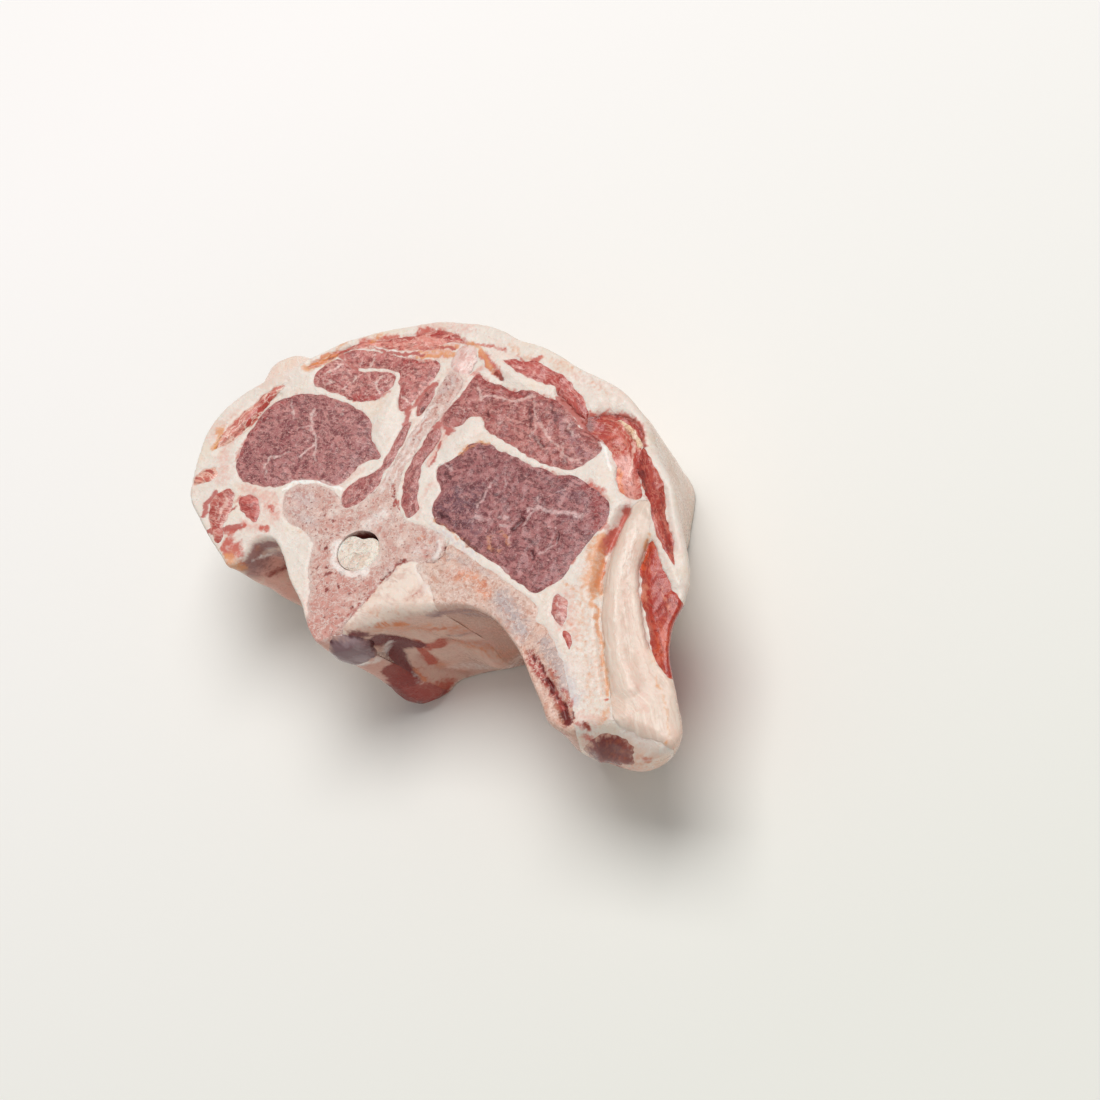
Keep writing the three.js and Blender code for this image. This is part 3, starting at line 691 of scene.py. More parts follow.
def laid(points, depth, direction, gap):
    # section points at a depth, moved with the wall near them, slid as the tissues slide, in metres
    places = np.column_stack([points, depth])
    push = np.clip(1 - gap / wall["swellReach"], 0, 1) ** 2 * wallPush(places)
    push += np.exp(-(gap / wall["lumpReach"]) ** 2) * wallRelief(places)
    x, y = (points + direction * push[:, None]).T
    part = depth / thickness
    spine = slideBy["backboneShift"] * np.exp(
        -((x - slideBy["backboneCentre"]) / slideBy["backboneReach"]) ** 2)
    past = (x - slideBy["flankStart"]) / slideBy["flankSoftness"]
    flank = slideBy["flankLean"] * slideBy["flankSoftness"] * np.logaddexp(0, past)
    lift = slideBy["lift"] + slideBy["liftPerHeight"] * (slideBy["liftFrom"] - y)
    away = (np.stack([x, y], axis=1) - slideBy["hollowMiddle"]) / slideBy["hollowRadii"]
    across, along = np.outer(slideBy["hollowShift"], np.exp(-(away ** 2).sum(axis=1)))
    return np.stack([x + part * (spine - flank + across) - chop["middle"][0],
                     y + part * (lift + along) - chop["middle"][1], thickness - depth], axis=1) * mm


# where the upper rim is rounder than elsewhere: x, y, reach and the extra radius, all in mm
softRims = [
    (16, -15, 9, 4.5), (28, -9, 7, 1.5), (100, -21, 13, 4.5), (86, -26, 7, 2), (88, 28, 20, 2.5),
    (62, 57, 12, 2.5), (-30, 63, 25, 1.2), (-31, -10, 6, 1.5),
]


def rimRadiusAt(points):
    # the rim's own radius and a bell curve for each softer stretch
    radius = np.full(len(points), chop["rimRound"])
    for *middle, reach, more in softRims:
        radius += more * bell(points, middle, reach)
    return radius


def rimFall(radius, gap):
    # a quarter circle: how far the rounded surface lies behind one plane, a gap away from the other
    inner = np.clip(radius - gap, 0, radius)
    return radius - np.sqrt(radius ** 2 - inner ** 2)


topFall = rimFall(rimRadiusAt(spots), rimGap)
topDepth = topFall - relief
bottomDepth = thickness - rimFall(chop["rimRound"], rimGap)
levels = np.linspace(0, 1, chop["wallLevels"])
coarse = np.array(chop["innerLevels"])
onWall = rimGap < chop["onLine"]


# stains, lines, painted shade and painted highlights on the cut faces and, further down, the walls:
# attributes that the materials read
faceStainsAndShading = {
    # half width, strength, path in section millimetres
    "pale": [
        (0.6, 0.8, (-36, 33.5), (-34.6, 30.5), (-33, 28.4), (-30.2, 26.6), (-29.4, 24.2)),
        (0.5, 0.75, (-43.5, 33.8), (-41.6, 31.4), (-40.4, 29.8)), (0.5, 0.7, (-34.2, 34), (-34.6, 31.4)),
        (0.5, 0.8, (-29.8, 24.4), (-30.8, 21.8), (-31.2, 19.5)),
        (0.5, 0.75, (-29.6, 24.6), (-27.6, 21.5), (-26, 19.6)),
        (0.5, 0.75, (-35.4, 19.8), (-39.4, 16.6), (-40, 14), (-38.4, 11.6)),
        (0.5, 0.6, (-36.6, 26.4), (-34, 28.6), (-31.8, 27.2)), (0.5, 0.6, (-27.6, 37), (-26.6, 34.8)),
        (0.9, 0.9, (43, 27.4), (46, 27.6), (50, 28.4), (55.4, 29.4)),
        (0.6, 0.8, (41, 30), (43, 27.4), (41.6, 24.6), (41.2, 21.4)),
        (0.5, 0.65, (43.4, 31), (44.8, 32.4), (47, 35)), (0.6, 0.75, (26, 29.8), (25.8, 27), (26.2, 22.6)),
        (0.5, 0.6, (27.4, 20), (31, 20), (34.4, 22)), (0.9, 0.8, (27.4, 19.6), (28.6, 20.2)),
        (0.8, 1, (35.4, 19.6), (36.6, 20)), (0.7, 0.9, (34.8, 21.8), (35.6, 22.4)),
        (0.6, 0.6, (33.4, 25.6), (34.8, 24.4)),
        (0.4, 1, (39.8, 26.4), (40.2, 25.4), (40.4, 26.6), (41.6, 27)),
        (0.5, 0.7, (28.4, 33.4), (30, 31.2), (30.6, 29.8)), (0.5, 0.6, (23.6, 30), (24.6, 31.6)),
        (0.5, 0.7, (9.4, 31), (11.4, 30.2), (13.4, 29.6)), (0.5, 0.7, (53, 22), (52.4, 18.6), (49.6, 15.6)),
        (0.6, 0.8, (40.6, 8.6), (44, 8.4)), (0.5, 0.6, (39.4, 18), (40.6, 15.4)),
        (0.4, 0.9, (47.8, 24), (48.2, 23.8)), (0.4, 0.9, (50.2, 23.4), (50.6, 23.2)),
        (0.5, 0.85, (-38.4, 44.8), (-36.6, 47), (-35.4, 49)),
        (0.5, 0.8, (-30, 47.6), (-29.4, 45), (-31, 42.4)),
        (0.5, 0.8, (-22.4, 49.6), (-22.2, 46.8), (-20.4, 44.4)), (0.4, 0.7, (-37, 42), (-34, 43.6)),
        (0.5, 0.8, (-28.2, 54.8), (-27.4, 52.6), (-28, 50.6)), (0.5, 0.8, (-12.6, 45.6), (-10.4, 44.8)),
        (0.6, 0.9, (7.6, 54.6), (9.8, 51.8), (13, 53.6), (16.4, 53.6), (20, 54.6), (24.4, 57)),
        (0.5, 0.75, (24.8, 56), (27, 52.6), (29, 49.6), (29.6, 45.6)),
        (0.6, 0.7, (30.4, 50), (34, 47.2), (37.6, 46.2), (41.6, 43.8), (46.4, 43.2)),
        (0.5, 0.7, (39, 46.6), (40.6, 43.6), (43, 42)), (0.5, 0.65, (31, 46), (34.6, 44)),
        (0.5, 0.65, (20, 48.8), (18.6, 46)), (0.5, 0.6, (36, 53.6), (39.4, 51.2), (40.4, 49.4)),
        (0.5, 0.7, (5.6, 47.6), (8, 46.6)), (0.3, 0.9, (-35, 54), (-30, 56.4), (-22, 58)),
        (0.7, 0.9, (-30.5, 9.5), (-29.4, 11.8), (-25, 14), (-20, 14.6), (-14.8, 14.4)),
        (0.7, 0.8, (20.6, 10.6), (22.4, 8), (22.6, 5.2)),
        (1.2, 1, (-6.8, 0.6), (-6.4, -2.4), (-4.8, -5.2), (-1.8, -6.9), (2.4, -6.8), (5.6, -4.6)),
        (2.6, 0.5, (16, 5), (19, 7.4)), (2.8, 0.7, (-1.5, 8.6), (1.6, 11.6)),
        (0.7, 0.7, (-3.4, 17), (-3.8, 26), (-3.6, 36), (-2.6, 46)),
        (0.5, 0.7, (-1.8, 19), (-1.9, 30), (-1.4, 42)), (1.8, 0.6, (19, 1.6), (22.5, -1.5), (27.5, -4.5)),
        (1.2, 0.5, (69.8, 33), (71.6, 26), (74.6, 17)), (0.4, 0.7, (72, 30), (74, 22), (78, 13.6)),
        (0.35, 0.6, (76, 11), (80, 3.6), (86, -4)), (0.6, 0.9, (48.6, 50.4), (52, 48.2), (55.6, 44.4)),
        (0.5, 0.8, (57, 53), (59, 50.4), (61.2, 45)), (0.8, 0.7, (-45.4, 1.6), (-44.6, -2), (-44, -5.2)),
        (0.5, 0.6, (-47, 0), (-46.2, -3.6)), (0.5, 0.6, (62, 5), (64, 1.4)),
        (0.6, 0.7, (86, 17.4), (89, 14.6), (92, 12)), (1.1, 1, (81.6, 16.4), (83.6, 13.6)),
        (0.5, 0.6, (13.4, 63.4), (19, 63.6), (25, 62.8)), (0.5, 0.6, (-20, 64), (-16, 62.4)),
    ],
    "meaty": [
        (0.9, 0.9, (-49.8, 2), (-50, -2), (-48.6, -5.4)),
        (1.1, 1, (-45.6, -9.6), (-42, -8), (-39, -6.4), (-36.4, -5.2)), (0.7, 0.8, (-42.4, -3), (-41.4, 0)),
        (0.9, 0.75, (-38, 51.4), (-34.6, 49.9), (-30.5, 49)), (1.4, 1, (31, 58.6), (36, 56.6), (41, 54.4)),
        (1.7, 1, (42, 54.8), (44.8, 51.2), (48.4, 49.4)), (1.8, 0.9, (1.8, 40.4), (3.6, 43.2), (6, 40.6)),
        (1, 0.9, (-7.4, 38), (-8.6, 41.6), (-9.8, 43.4)), (1.1, 0.9, (-8, 44.6), (-6.8, 48.4), (-5.6, 52)),
        (0.6, 0.8, (-31, 56.2), (-22, 57.4), (-14, 59)),
        (0.5, 0.8, (-16.6, 61.6), (-10.6, 62.6), (-6, 63.6)),
        (0.5, 0.7, (5.6, 36.6), (6.4, 32.6), (5.6, 28.6)), (0.6, 0.8, (3, 16.6), (4.9, 13.2)),
    ],
    "rosy": [
        (3, 0.5, (-3, 38), (-2.4, 48)), (3.4, 0.45, (44.6, 26), (48, 24)),
        (3.4, 0.5, (36, 16.4), (38.4, 14)), (3, 0.4, (48.4, 13.2), (54, 19)),
        (3.4, 0.45, (-43.6, 31), (-40.6, 32)), (2.4, 0.35, (70, -2), (70.4, -5)),
        (2.4, 0.9, (-33, 56.6), (-27, 59.6), (-20, 60.6)), (2.6, 0.8, (-18, 59), (-12, 60.6), (-7, 61.6)),
        (2.6, 0.5, (74, 24), (78, 14), (84, 4)), (2.2, 0.6, (92, -8), (99, -14)),
        (7.5, 0.95, (0, -11), (2, -19), (3, -26)), (4, 0.7, (-8, -5)), (4, 0.6, (8, -8)),
        (3.5, 0.35, (-27, 8), (-16, 7)), (2.4, 0.6, (-12, 3), (-8, 8)), (2.4, 0.6, (16, 8), (20, 6)),
        (2, 0.6, (29, 2), (33, 5)), (1.6, 0.7, (-3, 56.4), (0.6, 56.6)), (0.6, 0.6, (-3.6, 14), (-3.8, 38)),
        (0.5, 0.5, (-1.4, 22), (-1.2, 42)), (1.3, 0.8, (-8.6, 42), (-7.8, 46), (-6.4, 52)),
        (1.2, 0.7, (3.2, 57.6), (5.6, 60.4)), (1, 0.6, (2.4, 40), (1.6, 47), (2.8, 55)),
        (1.6, 0.7, (4.8, 41), (5.6, 36), (5.2, 30)), (1.2, 0.5, (9.6, 25), (9, 19), (10.6, 14)),
        (1.8, 0.8, (-20, 62.6), (-12, 64.2), (-6, 64.6)), (1.4, 0.8, (-17, 58.6), (-11, 60.6)),
        (3, 0.45, (-20, 67.4), (-5, 70)), (3, 0.35, (26, 68), (40, 65)),
        (3, 0.5, (-58, 20), (-52, 10), (-50, 6)), (3.4, 0.6, (-40, 5), (-30, 4)),
        (2.6, 0.95, (57.6, 47.6), (61.4, 43), (65, 39.4)), (2, 0.7, (-51, 45), (-49, 46)),
        (3, 0.35, (96, -18), (104, -19)), (4, 0.3, (88, -2), (97, -9)), (3, 0.4, (-58, 26), (-61, 17)),
        (2.4, 0.6, (-42, 6), (-33, 6), (-28, 1)), (2.4, 0.6, (-36, -4), (-31, -3.6)),
        (2.5, 0.5, (24, -3), (23, -7)), (2, 0.5, (62, 2), (68, -2)), (1.6, 0.6, (-16, 16), (-12.6, 22)),
        (2, 0.5, (63, 8), (67, 3), (72, -3)), (2.4, 0.5, (84, -22), (90, -20)),
    ],
    "ruddy": [
        (1.3, 0.7, (-34, 57), (-29, 60), (-22, 61.6), (-19, 63.4)), (2.6, 0.5, (57, 36), (58.4, 33)),
        (2.6, 0.5, (46.4, 52), (49, 51)), (2.8, 0.55, (84, 19.4), (90.4, 12)),
        (0.8, 0.6, (-28, 57.8), (-22, 59)), (1.4, 1, (-19, 65), (-14, 66.6), (-8, 66.4)),
        (1, 0.9, (-44.6, 46.4), (-42, 49.4), (-39.4, 52)), (0.5, 0.7, (-16, 60.4), (-9, 62.6)),
        # the second stroke here, the first on the next line and the one at (65.6, 34) further on are
        # painted shade in the crease left of the fold, glowing orange-red through the fat
        (0.4, 0.6, (-13, 58.8), (-7, 60.6)), (1.5, 1.1, (66.4, 34.6), (66, 31), (65.4, 26), (65.2, 22.5)),
        (1.2, 0.8, (66.6, 20), (69, 13)), (0.7, 0.6, (15, 1.6), (12.2, 0), (12.7, -3), (11.4, -6)),
        (0.7, 0.6, (11.4, -6), (10.2, -12), (7.6, -20)),
        (2.4, 1, (52.6, 37.4), (57, 35.4), (59.6, 32), (60.8, 28.4)),
        (0.8, 0.8, (60.2, 25), (59.4, 18), (58.2, 12), (56.6, 9)), (0.8, 0.6, (37, 38), (46.6, 38.2)),
        (1.4, 0.6, (-49.4, 13), (-50, 22), (-47.6, 31.6), (-42, 36.6)),
        (1, 0.7, (-26, 40.8), (-21, 42.2), (-18.2, 45.6)), (1.2, 0.7, (-19, 56), (-9, 57.6)),
        (1.5, 0.8, (4.6, 57.4), (11, 55.6), (21, 56.2)), (1, 0.6, (26, 57.6), (33, 56.4)),
        (0.9, 0.9, (13.6, 49), (15.2, 48)), (0.7, 0.9, (2.6, 64.6), (5.4, 62.2), (8.4, 60.2)),
        (0.7, 0.7, (-5.6, 66.2), (-1, 66.4), (3.6, 67), (8.6, 67.6)), (0.8, 0.9, (17.4, 67), (19.6, 68.2)),
        (0.6, 0.8, (12.6, 66.8), (15.6, 65.4)), (1.1, 1, (-51, 33), (-51.8, 28), (-52.8, 23.6)),
        (1.3, 1, (42, 57.2), (47, 59), (52, 59.7), (56.6, 58), (60.2, 54)),
        (2.6, 0.9, (43.6, 54.6), (47, 53.6)), (1.8, 0.8, (61.6, 49), (66, 44.6), (71, 40.4)),
        (1.2, 0.9, (65.6, 34), (66.4, 28), (67.2, 24.6)), (1, 0.9, (-31.6, 3.2), (-30.4, 3)),
        (1, 1, (-30, -3.4), (-28.4, -2.8)), (1.3, 0.9, (-39.8, -8), (-37.6, -7)),
        (0.9, 0.8, (-36.4, -5.6), (-35.4, -4.4)), (2.4, 1, (-37, -10.6), (-33.4, -12.4)),
        (1.8, 1, (-37.4, -12), (-34.6, -13.4)), (0.8, 0.8, (39.8, 1), (40, 2.4)), (0.6, 0.8, (42.6, 0)),
        (0.5, 0.9, (-1, 21), (0.2, 18.6), (2.6, 15.6)), (1.2, 1, (4, 63.6), (7.4, 61.6), (11, 59.6)),
        (0.8, 0.7, (54, 60), (58, 57.6), (61, 53.6)),
        (1.5, 0.95, (62.4, -11), (66, -13.4), (70, -15.8), (74.5, -18.4), (78.6, -21.5), (81.6, -24)),
        (0.9, 0.8, (76, -16.6), (79.6, -19.4)), (0.7, 0.7, (69.4, -13.2), (72.6, -14.6)),
        (0.8, 0.7, (-42.6, 1.4), (-41.4, 3)), (0.7, 0.8, (88.4, -14.8)),
        (0.9, 0.8, (84.6, -24), (87, -23.4)), (0.8, 0.7, (79.6, -18.6), (80.4, -20)),
        (0.6, 0.5, (22.6, -6.6), (23.6, -6.4)),
    ],
    # dark red: blood, pores and marrow clots, and painted shade in the grooves, clefts and hollows
    "bloodAndShade": [
        (0.8, 0.75, (39.8, 22.8), (39.2, 19.6)), (0.7, 0.6, (16.6, 16.6), (20.6, 15.9)),
        (0.6, 0.85, (52.2, 22), (52.8, 19.4)), (0.5, 0.8, (47.2, 15.6), (48.8, 13.6)),
        (0.5, 0.7, (33.4, 22.8), (33.4, 21)), (0.6, 0.7, (12, 28.4), (14.6, 27.4)),
        (0.6, 0.6, (19.4, 33), (20.6, 30.4)), (0.6, 0.7, (25.2, 25.8), (25.6, 23.6)),
        (0.6, 0.7, (28, 11.9), (32.6, 10.9)), (0.6, 0.6, (15.6, 34.8), (17.4, 34.2)),
        (0.6, 0.6, (27, 27), (30, 26.8)), (0.6, 0.6, (32.6, 34.6), (34.6, 33.6)),
        (0.6, 0.6, (44, 18.6), (47, 17.6)), (0.7, 0.7, (29.6, 56.4), (32, 54.6), (34.2, 51.6)),
        (0.6, 0.7, (37.6, 51.6), (39.6, 50)), (0.6, 0.7, (25, 54), (26.4, 51.4), (27.6, 48.4)),
        (0.7, 0.8, (31, 45.6), (34.6, 44.6)), (0.6, 0.7, (42, 41.8), (45, 42)),
        (0.8, 0.8, (14, 48.9), (15, 48.2)), (0.7, 0.7, (-26, 52.8), (-25, 52)),
        (0.6, 0.6, (-13.6, 54), (-12, 51.6)), (0.6, 0.6, (-6.6, 48.6), (-5.4, 48)),
        (0.5, 0.8, (-4.6, 44.4), (-4.8, 42.6)), (0.7, 1, (9.4, 60), (12, 59.1)),
        (0.5, 0.6, (-41.4, 49), (-38.6, 51.4), (-36.8, 53.4)),
        (0.4, 0.6, (28.6, 60.6), (34, 57.9), (41, 54.8)), (0.3, 0.7, (-0.6, 20.4), (1.4, 17)),
        (1.4, 0.7, (42.4, 56.6), (43.6, 53.4)),
        # the first stroke here is painted shade in the hollow under the overhanging fat
        (0.7, 0.6, (48, 59.4), (54, 59.4), (58.6, 56.4), (60.8, 53)), (0.9, 0.6, (63, 47), (68.4, 42)),
        (0.45, 0.6, (14.8, 1.8), (12.4, 0.2), (12.8, -3), (11.4, -6)),
        (0.3, 0.6, (18.8, 2.9), (22.8, 4.2), (23.9, 7), (22.8, 10.8)),
        (0.9, 1, (70.2, -15.6), (72.4, -17), (73.2, -17.6)), (0.5, 0.8, (66.4, -12.6), (68.6, -14.2)),
        (0.4, 0.8, (63.4, -11.2), (64.6, -12)), (0.6, 0.9, (74.8, -18.2), (76, -19)),
        (1.2, 1, (79.4, -22.4), (81.4, -24)), (0.7, 0.9, (78, -20.2), (79, -21)),
        (0.5, 0.8, (81.6, -21.6), (82.4, -22.6)), (0.7, 0.9, (85.8, -23.6), (86.8, -23.4)),
        (0.7, 1, (-11.5, 5.8)), (0.8, 1, (-8.9, -2.2)), (0.6, 1, (-6, -7.5)), (0.75, 1, (-4.5, -9.2)),
        (0.7, 0.9, (-8.5, -8)), (0.6, 0.9, (-1.2, -7.7)), (0.6, 1, (-1.5, -13.5)), (0.6, 0.9, (7.8, -15.5)),
        (0.7, 0.9, (0.8, -11.5)), (0.6, 0.8, (-14.6, 6.4)), (0.7, 0.6, (-16, 8)), (0.55, 0.9, (4.4, -12.8)),
        (0.55, 0.9, (-2.6, -12.6)), (0.6, 0.8, (2.2, -21)), (0.55, 0.8, (-9, -9.6)),
        (0.45, 0.7, (26.4, 5.6)), (0.4, 0.6, (31, 1.4)), (0.4, 0.6, (-14.6, 4.6)), (0.5, 0.8, (-3.2, 53.9)),
        (0.45, 0.8, (-1.9, 52.7)), (0.45, 0.8, (-0.8, 51.1)), (0.4, 0.6, (-2.4, 55)),
        (0.5, 0.6, (6.6, -24)),
    ],
    "warm": [
        (0.6, 1, (12.6, 34.6), (13.8, 37), (16.6, 39.2), (19, 39.9)),
        (1, 0.8, (34.4, 15), (35.6, 12.6), (38.8, 12.4)), (0.9, 0.8, (36.6, 17.6), (39, 17), (40.4, 14.8)),
        (0.6, 0.7, (15.6, 15.4), (20, 14.2), (26, 12.6), (33, 10.4)),
        (1.7, 1, (-45, 45), (-42, 48.2), (-40, 50.4)), (0.9, 0.8, (-31.2, 58), (-30.4, 61.4)),
        (0.9, 0.6, (-40, 53), (-38, 56.4)), (0.7, 0.9, (-15.4, 57.8), (-10, 60), (-5.4, 61.8)),
        (0.7, 0.7, (-11.4, 62.4), (-5.6, 64.2)), (0.9, 0.8, (-3, 66.6), (1, 65.8), (4, 63.6), (8, 60.6)),
        (1.2, 0.5, (9.6, 69.4), (12.6, 67.6), (16, 66.6)), (1.6, 0.4, (21, 68.4), (33, 67.6)),
        # the strokes that follow the crease left of the fold, from (63.6, 26) down to (88, -13.4), are
        # painted shade with a painted orange glow through the fat
        (1.5, 0.35, (37, 66), (44, 64)), (1.2, 0.9, (63.6, 26), (63.6, 22), (65.4, 17), (68, 12), (71, 7)),
        (2.6, 0.8, (63.4, 22), (65.4, 17), (67.6, 12)), (7, 0.35, (68, 6), (76, -4), (84, -14)),
        (2.4, 0.6, (92.6, 7), (95.4, 0)), (3, 0.3, (72, 6), (72.7, 0)), (3, 0.3, (81, -16), (85, -18)),
        (1.6, 0.9, (65.4, 21), (67, 16.5), (69.6, 12)),
        (0.8, 0.85, (72, 7.2), (75, 3.4), (77.6, 0.2), (82.6, -6.9), (88, -13.4)),
        (2.6, 0.55, (63, 24), (65, 17), (68.4, 9)), (0.5, 0.7, (-16, 59.4), (-10, 61.4), (-5.4, 62.6)),
        (1.2, 0.8, (-46, 44.4), (-43.4, 47.4)), (0.5, 0.6, (60.4, 10.6), (65.6, 9.2), (69, 5.6), (71.4, 2)),
        (0.7, 0.5, (77, -6), (81, -12), (84.5, -17.5)),
        (0.5, 0.6, (97.5, -5.5), (102.5, -10), (106, -14.5), (108.5, -18.5)),
        (1.2, 0.6, (90.4, -16), (89.6, -21)), (0.8, 0.7, (109, -20.4)),
        (0.7, 0.8, (75.6, 30.4), (77, 26.4), (78.6, 21)), (0.8, 0.8, (57.6, 45), (60.4, 41), (62.6, 39)),
        (1, 1, (-59.6, 20), (-58.6, 14.4)), (2, 0.35, (-55.5, 38.3)),
        (2.2, 0.8, (-35, -14), (-33.6, -15), (-32.6, -16.4)),
        (2.2, 0.8, (32.4, 2.6), (36, 3.6), (39, 2), (42, 0.6)), (1.4, 0.5, (15.4, 9), (18.6, 8.6)),
        (1.5, 0.45, (13.6, -14.8), (15, -13.6)), (1.3, 0.35, (18.4, -11.8), (20, -11)),
        (1, 0.6, (25, -13), (23, -15)), (1.2, 0.6, (56.4, -7.6)), (1, 0.5, (-18.6, -0.6)),
        (1.5, 0.4, (-7, 1.5)),
    ],
    "cool": [
        (5.5, 0.85, (18, 19.4), (24, 17.6), (23, 24)), (3.4, 0.6, (29, 16), (31, 12.6)),
        (3.4, 1, (18.6, 24.5), (22.4, 21.4)), (3, 0.6, (46, 33), (53, 34)),
        (3.2, 0.85, (46.4, 0.6), (52, -2.6), (57.4, -6)),
        (2.7, 0.95, (64, -6.6), (70, -10.4), (76, -15.4), (80, -18)),
        (0.6, 0.7, (19.6, 11.6), (21.4, 8.6), (22, 5.6)),
        (0.7, 0.8, (16, 12.8), (21, 12.4), (27, 10.6), (34, 8.8)), (0.9, 0.9, (26.3, 5.7)),
        # the second stroke here is a painted sheen, grey-mauve, on the right blade muscle
        (1.8, 0.6, (-2, 50), (-1.2, 54)), (2.6, 0.5, (33, 54), (40, 49.6), (46, 45.6)),
        (1.8, 0.5, (12.6, -2), (12.4, -4.6)), (1.4, 0.4, (-33, 7), (-28, 6)), (3, 0.7, (-26, 9), (-21, 8)),
        (2, 0.6, (-24, 4), (-17, 3)), (1.5, 0.5, (25, 7.6), (31, 6.8), (40, 5.6)),
    ],
    # painted shade: the crevice at the edge of the left bay
    "paintedShade": [
        (0.8, 0.4, (-30.6, -8.4), (-29.4, -7.4)),
    ],
}
